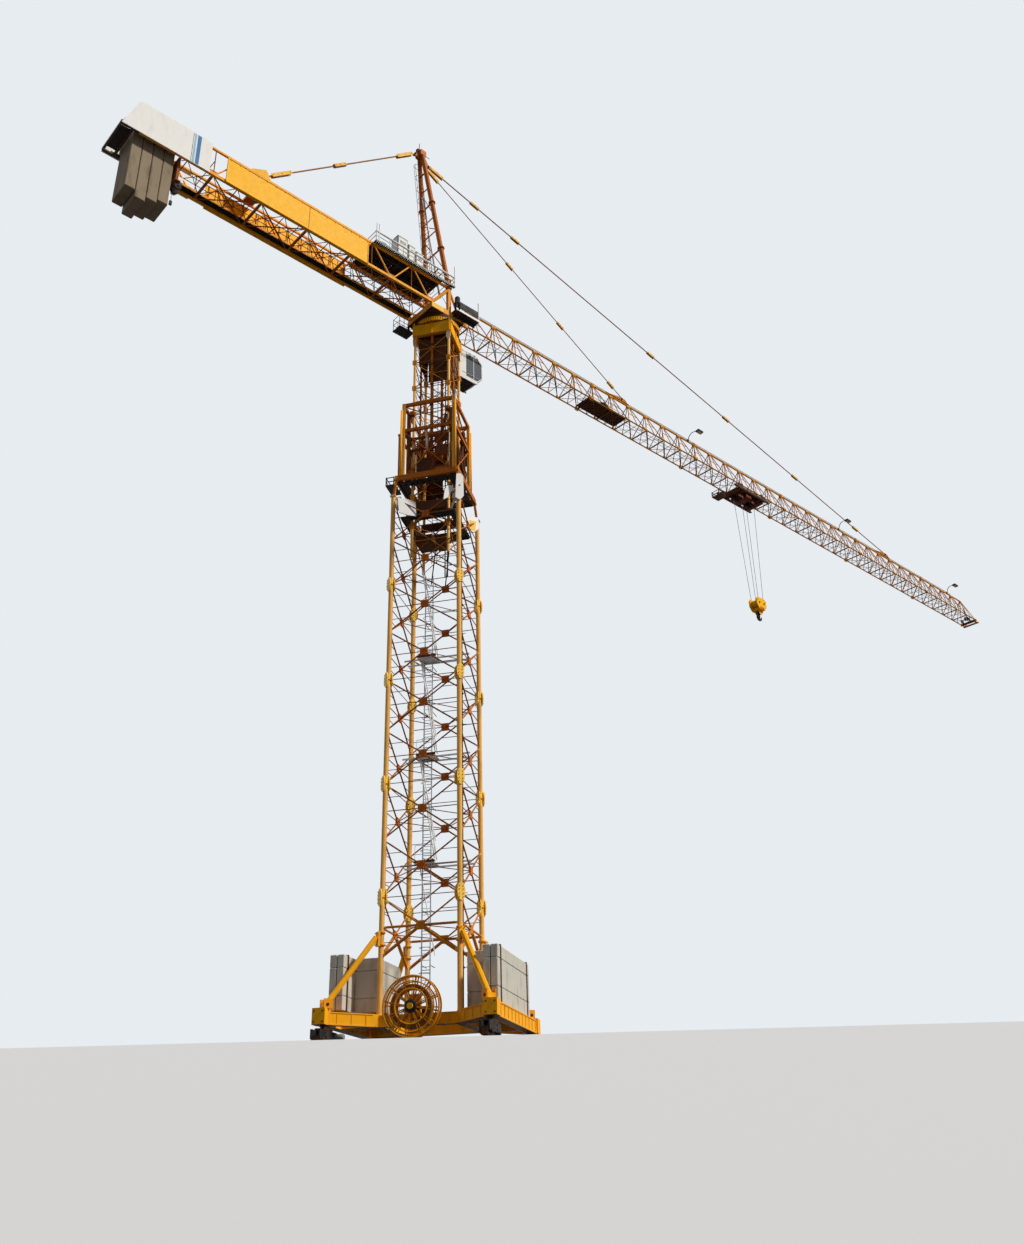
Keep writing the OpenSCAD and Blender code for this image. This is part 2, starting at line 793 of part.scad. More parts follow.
module jib_part(first, last) {
    top_d = chord_d + 2;
    for (y = [-jib_half, jib_half])
        bar([jib_x0 + first * panel, y, jib_z], [jib_x0 + last * panel, y, jib_z], chord_d, 4);
    x_first = jib_x0 + (first == 0 ? 0.25 : first) * panel;
    x_last = jib_x0 + (last == panels ? last - 0.4 : last) * panel;
    bar([x_first, 0, jib_top_z], [x_last, 0, jib_top_z], top_d, 8);
    for (i = [first:last - 1]) {
        x = jib_x0 + i * panel;
        inset = 7;
        // cross member and diagonal of the bottom face
        block([x + inset, 0, jib_z], [7, jib_w - 6, 7]);
        bar([x + 2 * inset, -jib_half + 3, jib_z], [x + panel - 4, jib_half - 3, jib_z], 6, 4);
        // side faces: from a bottom node up to the top chord and down again
        for (s = [-1, 1]) {
            bar([x + inset, s * (jib_half - 1), jib_z + 2],
                [x + panel / 2 - 5, s * 3, jib_top_z - 3], 6.5);
            bar([x + panel / 2 + 5, s * 3, jib_top_z - 3],
                [x + panel - inset + 2, s * (jib_half - 1), jib_z + 2], 6.5);
        }
    }
}

split_1 = 12;
split_2 = 24;

module jib_inner() {
    color(orange) {
        jib_part(0, split_1);
        // lug plate for the inner tie
        plate_xz([[inner_end - 220, jib_top_z], [inner_end + 60, jib_top_z],
            [inner_end + 20, tie_z + 16], [inner_end - 24, tie_z + 22]], 0, 10);
    }
}

module jib_middle() {
    color(orange) jib_part(split_1, split_2);
}

module jib_outer() {
    color(orange) {
        jib_part(split_2, panels);
        plate_xz([[outer_end - 260, jib_top_z], [outer_end + 60, jib_top_z],
            [outer_end + 20, tie_z + 16], [outer_end - 24, tie_z + 22]], 0, 10);
        // end frame with the rope anchor beam
        block([jib_tip, 0, jib_z], [12, jib_w + 16, 22]);
        block([jib_tip + 44, 0, jib_z - 10], [10, jib_w + 10, 14]);
        for (y = [-1, 1])
            block([jib_tip + 22, y * (jib_half - 8), jib_z - 6], [50, 8, 12]);
        bar([jib_tip - 0.4 * panel, 0, jib_top_z - 2], [jib_tip - 4, 0, jib_z + 6], 9, 8);
    }
}

module trolley_winch() {
    x = 1480;
    z = jib_z + 8;
    color(steel) {
        block([x, 0, z + 4], [380, jib_w - 26, 5]);
        for (y = [-1, 1]) block([x, y * 30, z + 34], [70, 6, 56]);
        translate([x, 0, z + 44]) rotate([90, 0, 0])
            cylinder(h = 54, d = 56, center = true, $fn = round_n);
        block([x - 96, 0, z + 30], [60, 44, 48]);
    }
}

module lamp(x, arm) {
    // a bent arm on the side of the jib with a flat lamp housing at its end
    foot = [x, -14, jib_top_z + 2];
    knee = [x + 18, -36, jib_top_z + 66];
    tip = [x + arm, -60, jib_top_z + 92];
    bar(foot, knee, 6, 6);
    bar(knee, tip, 6, 6);
    block([x + arm + 20, -64, jib_top_z + 92], [60, 40, 16]);
}

module jib_lamps() {
    color("black") {
        lamp(2450, 60);
        lamp(4498, 60);
        lamp(6380, 70);
    }
}

// The trolley and the hook

trolley_len = 420;
sheave_gap = 44;
rope_d = 4;
rope_x = 108;

module trolley() {
    gap = 1;
    z_rail = jib_z - chord_d / 2;
    z = z_rail - 34;
    color("saddlebrown") {
        // wheels under the bottom chords, frame and sheaves
        for (s = [-1, 1], y = [-1, 1]) {
            translate([trolley_x + s * 150, y * jib_half, z_rail - 15 - gap])
                rotate([90, 0, 0]) cylinder(h = 16, d = 28, center = true, $fn = round_n);
            block([trolley_x + s * 150, y * (jib_half + 14), z_rail - 18], [46, 10, 32]);
            block([trolley_x + s * 150, y * jib_half, z_rail - 15 - gap], [10, 36, 10]);
        }
        for (y = [-1, 1])
            block([trolley_x, y * (jib_half + 14), z - 2], [trolley_len, 12, 20]);
        for (x = [-150, -rope_x, rope_x, 150])
            block([trolley_x + x, 0, z - 8], [16, jib_w + 36, 14]);
        for (s = [-1, 1], y = [-1, 1])
            translate([trolley_x + s * (rope_x - 24), y * 16, z - 26])
                rotate([90, 0, 0]) cylinder(h = 9, d = 46, center = true, $fn = round_n);
        for (y = [-28, 28])
            block([trolley_x, y, z - 22], [270, 6, 22]);
        // small inspection cage at the inner end
        block([trolley_x - trolley_len / 2 - 34, 60, z - 62], [76, 70, 5]);
        block([trolley_x - trolley_len / 2 + 3, 60, z - 33], [8, 70, 60]);
        railing(trolley_x - trolley_len / 2 - 70, trolley_x - trolley_len / 2 + 2, 27, 93, z - 60, 44, 4);
    }
}

block_w = 92;
block_len = 120;
rope_top = jib_z - 100;

module hoist_ropes() {
    color("dimgray")
        for (i = [0:3])
            let (s = i < 2 ? -1 : 1, k = (i == 0 || i == 3) ? 1 : 0)
                bar([trolley_x + s * (30 + 22 * k), i % 2 == 0 ? -16 : 16, block_z - 20],
                    [trolley_x + s * (36 + 45 * k), i % 2 == 0 ? -16 : 16, rope_top + 9],
                    rope_d, 8);
}

module hook_block() {
    z = block_z;
    color(orange) {
        // two cheek plates, sheaves between them and the cross head
        for (y = [-1, 1])
            plate_xz([[trolley_x - 58, z - 20], [trolley_x - 40, z], [trolley_x + 40, z],
                [trolley_x + 58, z - 20], [trolley_x + 58, z - 66], [trolley_x + 30, z - 100],
                [trolley_x - 30, z - 100], [trolley_x - 58, z - 66]], y * 32, 10);
        for (s = [-1, 1])
            translate([trolley_x + s * 28, 0, z - 44]) rotate([90, 0, 0])
                cylinder(h = 54, d = 48, center = true, $fn = round_n);
        difference() {
            block([trolley_x, 0, z - 88], [50, 54, 24]);
            translate([trolley_x, 0, z - 102]) cylinder(h = 30, d = 14.1, $fn = round_n);
        }
    }
}

module crane_hook() {
    z = block_z - 100;
    r = 22;
    color(steel) {
        // shank with its nut, then the bowl of the hook
        translate([trolley_x, 0, z - 24]) cylinder(h = 47, d = 14, $fn = round_n);
        translate([trolley_x, 0, z - 30]) cylinder(h = 22, d = 26, $fn = round_n);
        translate([trolley_x, 0, z - 28 - r])
            rotate([90, 0, 0])
                difference() {
                    cylinder(h = 16, r = r + 9, center = true, $fn = round_n);
                    cylinder(h = 18, r = r - 5, center = true, $fn = round_n);
                    translate([0, -2, -10]) cube([60, 60, 20]);
                }
        block([trolley_x + r + 2, 0, z - 25 - r], [14, 16, 12]);
    }
}

chassis_frame();
rail_bogies();
corner_struts();
ballast_left();
ballast_right();
cable_reel();
mast_section_1();
mast_section_2();
mast_section_3();
mast_section_4();
mast_section_5();
mast_ladder();
mast_cable();
inner_mast();
climbing_cage();
cage_platform();
mast_collar();
tower_head();
slewing_platform();
operator_cabin();
cabin_walkway();
tower_top();
counter_jib_frame();
yellow_side_panels();
white_side_panels();
counterweight_1();
counterweight_2();
counterweight_3();
counterweight_4();
machinery_deck();
hoist_winch();
control_cabinets();
bottom_walkway();
rear_tie();
front_tie_outer();
front_tie_inner();
jib_inner();
jib_middle();
jib_outer();
trolley_winch();
jib_lamps();
trolley();
hoist_ropes();
hook_block();
crane_hook();
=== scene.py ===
"""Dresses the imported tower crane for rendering: finishes, fine detail, camera, light and a plain stage.

The crane is a 1:10 model. Lengths are metres in the row frame: +X along the jib, +Z up, the origin on the mast's
axis at rail level. The mast and its base stand turned by MAST_TURN against the jib, so their pieces are built in
an upright mast frame and turned at the end.
"""

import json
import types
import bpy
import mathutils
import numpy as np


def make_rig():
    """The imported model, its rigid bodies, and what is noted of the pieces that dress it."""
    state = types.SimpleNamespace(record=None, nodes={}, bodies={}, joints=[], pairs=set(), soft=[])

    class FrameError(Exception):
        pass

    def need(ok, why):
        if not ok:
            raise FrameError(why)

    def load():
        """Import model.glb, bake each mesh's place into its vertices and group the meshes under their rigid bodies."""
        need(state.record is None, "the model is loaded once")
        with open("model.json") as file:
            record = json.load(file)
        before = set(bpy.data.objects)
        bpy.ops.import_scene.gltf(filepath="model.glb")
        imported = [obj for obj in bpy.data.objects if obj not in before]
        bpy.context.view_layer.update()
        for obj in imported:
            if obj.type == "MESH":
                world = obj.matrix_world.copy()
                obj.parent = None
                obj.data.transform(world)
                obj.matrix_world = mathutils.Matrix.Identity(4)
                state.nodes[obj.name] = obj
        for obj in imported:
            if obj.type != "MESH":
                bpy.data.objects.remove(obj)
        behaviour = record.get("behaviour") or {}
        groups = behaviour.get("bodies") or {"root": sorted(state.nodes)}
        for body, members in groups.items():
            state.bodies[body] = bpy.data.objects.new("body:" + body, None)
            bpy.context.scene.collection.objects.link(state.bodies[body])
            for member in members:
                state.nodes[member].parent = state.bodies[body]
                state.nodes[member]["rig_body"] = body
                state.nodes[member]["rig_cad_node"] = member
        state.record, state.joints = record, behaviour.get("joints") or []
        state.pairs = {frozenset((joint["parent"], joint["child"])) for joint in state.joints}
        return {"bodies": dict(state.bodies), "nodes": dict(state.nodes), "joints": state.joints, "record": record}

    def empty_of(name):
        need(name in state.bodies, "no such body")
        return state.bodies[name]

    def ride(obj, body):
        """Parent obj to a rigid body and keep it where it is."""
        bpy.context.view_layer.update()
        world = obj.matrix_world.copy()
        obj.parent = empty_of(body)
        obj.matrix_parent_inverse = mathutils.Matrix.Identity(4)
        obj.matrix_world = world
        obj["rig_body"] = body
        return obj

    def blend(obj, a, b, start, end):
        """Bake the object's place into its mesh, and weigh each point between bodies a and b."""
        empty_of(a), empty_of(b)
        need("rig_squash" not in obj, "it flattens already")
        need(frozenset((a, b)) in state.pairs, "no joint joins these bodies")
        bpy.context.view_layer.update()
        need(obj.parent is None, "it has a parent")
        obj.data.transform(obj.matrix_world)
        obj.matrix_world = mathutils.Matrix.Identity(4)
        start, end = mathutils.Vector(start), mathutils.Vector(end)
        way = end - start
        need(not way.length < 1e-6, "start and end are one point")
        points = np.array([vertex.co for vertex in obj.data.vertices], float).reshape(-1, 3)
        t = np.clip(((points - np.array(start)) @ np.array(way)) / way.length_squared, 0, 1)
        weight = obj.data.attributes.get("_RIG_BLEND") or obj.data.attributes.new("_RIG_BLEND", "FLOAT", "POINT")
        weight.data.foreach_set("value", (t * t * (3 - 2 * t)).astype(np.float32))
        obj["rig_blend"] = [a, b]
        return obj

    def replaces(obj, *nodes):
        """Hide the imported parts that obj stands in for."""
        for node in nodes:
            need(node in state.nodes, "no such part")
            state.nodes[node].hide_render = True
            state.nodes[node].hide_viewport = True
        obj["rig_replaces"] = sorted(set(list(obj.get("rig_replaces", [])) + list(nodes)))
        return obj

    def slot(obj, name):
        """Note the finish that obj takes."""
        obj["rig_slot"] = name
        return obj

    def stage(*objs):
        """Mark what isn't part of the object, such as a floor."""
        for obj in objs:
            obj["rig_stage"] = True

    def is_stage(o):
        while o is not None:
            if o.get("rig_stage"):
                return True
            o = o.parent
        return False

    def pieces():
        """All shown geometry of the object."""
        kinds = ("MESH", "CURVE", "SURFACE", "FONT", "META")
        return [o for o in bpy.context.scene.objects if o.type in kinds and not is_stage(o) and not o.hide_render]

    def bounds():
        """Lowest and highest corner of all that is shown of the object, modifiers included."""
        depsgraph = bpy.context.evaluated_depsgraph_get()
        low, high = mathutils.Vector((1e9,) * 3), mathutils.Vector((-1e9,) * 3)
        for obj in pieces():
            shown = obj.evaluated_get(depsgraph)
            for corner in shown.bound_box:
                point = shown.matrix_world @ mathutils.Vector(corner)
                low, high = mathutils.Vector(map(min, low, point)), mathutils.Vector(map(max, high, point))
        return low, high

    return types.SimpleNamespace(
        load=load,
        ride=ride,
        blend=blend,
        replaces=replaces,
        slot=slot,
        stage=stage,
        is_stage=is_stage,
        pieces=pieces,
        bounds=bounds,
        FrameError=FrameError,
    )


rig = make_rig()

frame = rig.load()

import json
import logging
import math
from dataclasses import dataclass, field
from enum import Enum
from typing import Dict, List, Optional, Sequence, Tuple

import bpy
import numpy as np
from mathutils import Matrix

logging.basicConfig(level=logging.INFO, format="%(name)s: %(message)s")
LOG = logging.getLogger("tower crane")

MM = 0.001
MAST_TURN = math.radians(-56.0)
Point = Tuple[float, float, float]


class Body(str, Enum):
    """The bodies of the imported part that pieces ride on."""

    BASE = "base"
    REEL = "reel"
    UPPER = "upper"
    TROLLEY = "trolley"
    HOOK = "hook"


def write_size(key: str, low: Sequence[float], high: Sequence[float]) -> None:
    """Args:
        key: "cad" or "visual".
        low: lowest corner in metres.
        high: highest corner in metres.
    """
    path = "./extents.json"
    sizes: Dict[str, List[List[float]]] = {}
    if key != "cad":
        with open(path, encoding="utf-8") as handle:
            sizes = json.load(handle)
    sizes[key] = [[round(float(v), 5) for v in low], [round(float(v), 5) for v in high]]
    with open(path, "w", encoding="utf-8") as handle:
        json.dump(sizes, handle)


write_size("cad", *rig.bounds())


# Geometry


def turn_z(angle: float) -> np.ndarray:
    """The 4x4 matrix of a turn about the vertical.

    Args:
        angle: radians, counter-clockwise seen from above.

    Returns:
        The matrix.
    """
    c, s = math.cos(angle), math.sin(angle)
    m = np.eye(4)
    m[:2, :2] = [[c, -s], [s, c]]
    return m


MAST = turn_z(MAST_TURN)
UPRIGHT = np.eye(4)


def place(origin: Point, x_axis: Point = (1, 0, 0), z_axis: Point = (0, 0, 1)) -> np.ndarray:
    """A frame as a 4x4 matrix.

    Args:
        origin: where the frame's origin stands.
        x_axis: direction of the frame's X.
        z_axis: rough direction of its Z, squared up against X.

    Returns:
        The matrix that carries the frame's points to the row frame.
    """
    x = np.array(x_axis, float)
    x /= np.linalg.norm(x)
    z = np.array(z_axis, float)
    z -= x * (z @ x)
    z /= np.linalg.norm(z)
    m = np.eye(4)
    m[:3, 0], m[:3, 1], m[:3, 2], m[:3, 3] = x, np.cross(z, x), z, origin
    return m


class Shape:
    """Gathers the faces of one piece in whole arrays and turns them into a mesh."""

    def __init__(self, name: str, base: Optional[np.ndarray] = None) -> None:
        """Starts an empty piece.

        Args:
            name: name of the object.
            base: frame in which the points are given.
        """
        self.name = name
        self.base = UPRIGHT if base is None else base
        self.count = 0
        self.points: List[np.ndarray] = []
        self.faces: List[np.ndarray] = []
        self.looks: List[np.ndarray] = []
        self.smooth: List[np.ndarray] = []

    def add(self, points: np.ndarray, faces: np.ndarray, look: int = 0, smooth: bool = False,
            at: Optional[np.ndarray] = None) -> "Shape":
        """Adds points and the faces over them.

        Args:
            points: N x 3 array.
            faces: M x K array of indices into points, wound outwards.
            look: which of the piece's finishes the faces take.
            smooth: whether the faces are shaded smooth.
            at: extra frame of these points.

        Returns:
            This shape.
        """
        points = np.asarray(points, float).reshape(-1, 3)
        faces = np.asarray(faces, np.int64)
        matrix = self.base if at is None else self.base @ at
        self.points.append(points @ matrix[:3, :3].T + matrix[:3, 3])
        self.faces.append(faces + self.count)
        self.looks.append(np.full(len(faces), look))
        self.smooth.append(np.full(len(faces), smooth))
        self.count += len(points)
        return self

    def bars(self, start: np.ndarray, end: np.ndarray, width: float, sides: int = 6, look: int = 0,
             at: Optional[np.ndarray] = None, turn: float = 0.0) -> "Shape":
        """Adds straight bars of one width, each a prism with closed ends.

        Args:
            start: N x 3 start points.
            end: N x 3 end points.
            width: diameter across the corners.
            sides: corners of the section.
            look: finish index.
            at: extra frame.
            turn: turn of the section about the bar, in radians.

        Returns:
            This shape.
        """
        p = np.atleast_2d(np.asarray(start, float))
        q = np.atleast_2d(np.asarray(end, float))
        p, q = np.broadcast_arrays(p, q)
        along = q - p
        along = along / np.linalg.norm(along, axis=1, keepdims=True)
        helper = np.where(np.abs(along[:, 2:3]) > 0.9, [[1.0, 0, 0]], [[0, 0, 1.0]])
        u = np.cross(helper, along)
        u /= np.linalg.norm(u, axis=1, keepdims=True)
        v = np.cross(along, u)
        angles = np.arange(sides) * 2 * np.pi / sides + turn
        ring = (u[:, None] * np.cos(angles)[None, :, None] + v[:, None] * np.sin(angles)[None, :, None]) * width / 2
        points = np.concatenate([p[:, None] + ring, q[:, None] + ring], axis=1)
        n = len(p)
        offset = (np.arange(n) * 2 * sides)[:, None, None]
        i = np.arange(sides)
        j = (i + 1) % sides
        quads = np.stack([i, j, j + sides, i + sides], axis=1)[None] + offset
        self.add(points.reshape(-1, 3), quads.reshape(-1, 4), look, sides > 8, at)
        caps = np.stack([i[::-1], i + sides])[None] + offset
        self.faces.append(caps.reshape(-1, sides) + self.count - len(points) * 2 * sides)
        self.looks.append(np.full(2 * n, look))
        self.smooth.append(np.full(2 * n, False))
        return self

    def boxes(self, centre: np.ndarray, size: np.ndarray, look: int = 0, at: Optional[np.ndarray] = None,
              edge: float = 0.0) -> "Shape":
        """Adds upright boxes, with chamfered edges if asked.

        Args:
            centre: N x 3 middles.
            size: N x 3 or one size.
            look: finish index.
            at: extra frame.
            edge: width of the chamfer.

        Returns:
            This shape.
        """
        c, s = np.broadcast_arrays(np.atleast_2d(np.asarray(centre, float)), np.atleast_2d(np.asarray(size, float)))
        signs = np.array([[-1, -1, -1], [1, -1, -1], [1, 1, -1], [-1, 1, -1],
                          [-1, -1, 1], [1, -1, 1], [1, 1, 1], [-1, 1, 1]], float)
        quads = np.array([[3, 2, 1, 0], [4, 5, 6, 7], [0, 1, 5, 4], [1, 2, 6, 5], [2, 3, 7, 6], [3, 0, 4, 7]])
        n = len(c)
        if edge <= 0:
            points = c[:, None] + signs[None] * s[:, None] / 2
            faces = quads[None] + (np.arange(n) * 8)[:, None, None]
            return self.add(points.reshape(-1, 3), faces.reshape(-1, 4), look, False, at)
        # each corner becomes three points, one pulled back along each pair of axes
        half = s / 2
        corners = []
        for axis in range(3):
            inset = np.full((n, 3), edge)
            inset[:, axis] = 0
            corners.append(c[:, None] + signs[None] * (half - inset)[:, None])
        points = np.stack(corners, axis=2).reshape(n, 24, 3)
        normal_axis = [2, 2, 1, 0, 1, 0]
        faces = [[3 * k + normal_axis[f] for k in quad] for f, quad in enumerate(quads)]
        edges = []
        for f, quad in enumerate(quads):
            for g, other in enumerate(quads):
                if g <= f:
                    continue
                for a, b in zip(quad, np.roll(quad, -1)):
                    if a in other and b in other:
                        edges.append([3 * b + normal_axis[f], 3 * a + normal_axis[f],
                                      3 * a + normal_axis[g], 3 * b + normal_axis[g]])
        tips = []
        for k, sign in enumerate(signs):
            tri = [3 * k, 3 * k + 1, 3 * k + 2]
            tips.append(tri if np.prod(sign) > 0 else tri[::-1])
        offset = (np.arange(n) * 24)[:, None, None]
        self.add(points.reshape(-1, 3), (np.array(faces + edges)[None] + offset).reshape(-1, 4), look, False, at)
        self.faces.append((np.array(tips)[None] + offset).reshape(-1, 3) + self.count - n * 24)
        self.looks.append(np.full(8 * n, look))
        self.smooth.append(np.full(8 * n, False))
        return self

    def tube(self, path: Sequence[Point], width: float, sides: int = 8, look: int = 0,
             at: Optional[np.ndarray] = None, closed: bool = False) -> "Shape":
        """Adds a round tube along a path.

        Args:
            path: points of the centre line.
            width: diameter.
            sides: corners of the section.
            look: finish index.
            at: extra frame.
            closed: whether the path comes back to its start.

        Returns:
            This shape.
        """
        p = np.asarray(path, float)
        n = len(p)
        ahead = np.roll(p, -1, axis=0) - p
        behind = p - np.roll(p, 1, axis=0)
        if not closed:
            ahead[-1], behind[0] = behind[-1], ahead[0]
        along = ahead / np.linalg.norm(ahead, axis=1, keepdims=True) + behind / np.linalg.norm(
            behind, axis=1, keepdims=True)
        along /= np.linalg.norm(along, axis=1, keepdims=True)
        u = np.zeros_like(p)
        first = np.array([0, 0, 1.0]) if abs(along[0, 2]) < 0.9 else np.array([1.0, 0, 0])
        u[0] = np.cross(first, along[0])
        for i in range(1, n):
            u[i] = u[i - 1] - along[i] * (u[i - 1] @ along[i])
        u /= np.linalg.norm(u, axis=1, keepdims=True)
        v = np.cross(along, u)
        angles = np.arange(sides) * 2 * np.pi / sides
        points = p[:, None] + (u[:, None] * np.cos(angles)[None, :, None]
                               + v[:, None] * np.sin(angles)[None, :, None]) * width / 2
        rows = np.arange(n if closed else n - 1)
        i = np.arange(sides)
        j = (i + 1) % sides
        a, b = (rows * sides)[:, None], (((rows + 1) % n) * sides)[:, None]
        quads = np.stack([a + i, a + j, b + j, b + i], axis=2).reshape(-1, 4)
        self.add(points.reshape(-1, 3), quads, look, True, at)
        if not closed:
            caps = np.stack([i[::-1], i + (n - 1) * sides]) + self.count - n * sides
            self.faces.append(caps)
            self.looks.append(np.full(2, look))
            self.smooth.append(np.full(2, False))
        return self

    def lathe(self, profile: Sequence[Tuple[float, float]], at: np.ndarray, steps: int = 32, look: int = 0,
              smooth: bool = True) -> "Shape":
        """Adds a turned body: the profile of radius and height goes round the frame's Z.

        Args:
            profile: closed loop of (radius, height) points, counter-clockwise with radius to the right.
            at: frame whose Z is the axis.
            steps: points round the axis.
            look: finish index.
            smooth: smooth shading.

        Returns:
            This shape.
        """
        r, h = np.asarray(profile, float).T
        m = len(r)
        angles = np.arange(steps) * 2 * np.pi / steps
        points = np.stack([np.outer(np.cos(angles), r), np.outer(np.sin(angles), r), np.tile(h, (steps, 1))], axis=2)
        a = (np.arange(steps) * m)[:, None]
        b = (((np.arange(steps) + 1) % steps) * m)[:, None]
        i = np.arange(m)
        j = (i + 1) % m
        quads = np.stack([a + i, b + i, b + j, a + j], axis=2).reshape(-1, 4)
        return self.add(points.reshape(-1, 3), quads, look, smooth, at)

    def plate(self, outline: Sequence[Tuple[float, float]], thickness: float, at: np.ndarray,
              look: int = 0) -> "Shape":
        """Adds a flat plate: the outline lies in the frame's XY plane and the plate is centred on it.

        Args:
            outline: corners, counter-clockwise.
            thickness: along the frame's Z.
            at: frame of the plate.
            look: finish index.

        Returns:
            This shape.
        """
        xy = np.asarray(outline, float)
        n = len(xy)
        low = np.column_stack([xy, np.full(n, -thickness / 2)])
        high = np.column_stack([xy, np.full(n, thickness / 2)])
        i = np.arange(n)
        j = (i + 1) % n
        self.add(np.vstack([low, high]), np.stack([i, j, j + n, i + n], axis=1), look, False, at)
        self.faces.append(np.stack([i[::-1], i + n]) + self.count - 2 * n)
        self.looks.append(np.full(2, look))
        self.smooth.append(np.full(2, False))
        return self

    def build(self, finishes: Sequence[bpy.types.Material]) -> bpy.types.Object:
        """Makes the Blender object.

        Args:
            finishes: materials, in the order of the look indices.

        Returns:
            The object, linked to the scene.
        """
        points = np.concatenate(self.points)
        mesh = bpy.data.meshes.new(self.name)
        loops = np.concatenate([f.ravel() for f in self.faces])
        sizes = np.concatenate([np.full(len(f), f.shape[1]) for f in self.faces])
        starts = np.concatenate([[0], np.cumsum(sizes)[:-1]])
        mesh.vertices.add(len(points))
        mesh.vertices.foreach_set("co", points.astype(np.float32).ravel())
        mesh.loops.add(len(loops))
        mesh.loops.foreach_set("vertex_index", loops.astype(np.int32))
        mesh.polygons.add(len(sizes))
        mesh.polygons.foreach_set("loop_start", starts.astype(np.int32))
        mesh.polygons.foreach_set("material_index", np.concatenate(self.looks).astype(np.int32))
        mesh.update(calc_edges=True)
        mesh.polygons.foreach_set("use_smooth", np.concatenate(self.smooth).astype(bool))
        mesh.validate()
        obj = bpy.data.objects.new(self.name, mesh)
        for material in finishes:
            mesh.materials.append(material)
        bpy.context.scene.collection.objects.link(obj)
        return obj


# Finishes


class Axis(Enum):
    """Directions in which a zone may be limited."""

    X = 0
    Y = 1
    Z = 2


@dataclass(frozen=True)
class Zone:
    """A stretch of the part that takes a colour of its own; many zones paint light or shade, such as the pale legs of a
    mast as a painted highlight and dark bands as painted shade.

    Attributes:
        color: colour inside the zone, linear.
        bands: limits that all hold inside: axis, middle and reach to either side. X and Y count on both sides of the
            middle plane if mirrored.
        mirrored: whether X and Y are taken without their sign.
        turn: turn of the part's frame about the vertical, radians.
    """

    color: Tuple[float, float, float]
    bands: Tuple[Tuple[Axis, float, float], ...]
    mirrored: bool = True
    turn: float = 0.0

    def mask(self, coords: bpy.types.NodeSocket, nodes: bpy.types.Nodes,
             links: bpy.types.NodeLinks) -> bpy.types.NodeSocket:
        """Builds the nodes that give one inside the zone and nought outside.

        Args:
            coords: object coordinates.
            nodes: nodes of the material.
            links: its links.

        Returns:
            The socket with the value.
        """
        turned = nodes.new("ShaderNodeMapping")
        turned.inputs["Rotation"].default_value = (0.0, 0.0, -self.turn)
        links.new(coords, turned.inputs["Vector"])
        split = nodes.new("ShaderNodeSeparateXYZ")
        links.new(turned.outputs[0], split.inputs[0])
        result: Optional[bpy.types.NodeSocket] = None
        for axis, middle, reach in self.bands:
            value = split.outputs[axis.value]
            if self.mirrored and axis is not Axis.Z:
                flat = nodes.new("ShaderNodeMath")
                flat.operation = "ABSOLUTE"
                links.new(value, flat.inputs[0])
                value = flat.outputs[0]
            near = nodes.new("ShaderNodeMath")
            near.operation = "COMPARE"
            near.inputs[1].default_value = middle
            near.inputs[2].default_value = reach
            links.new(value, near.inputs[0])
            if result is None:
                result = near.outputs[0]
                continue
            both = nodes.new("ShaderNodeMath")
            both.operation = "MULTIPLY"
            links.new(result, both.inputs[0])
            links.new(near.outputs[0], both.inputs[1])
            result = both.outputs[0]
        return result


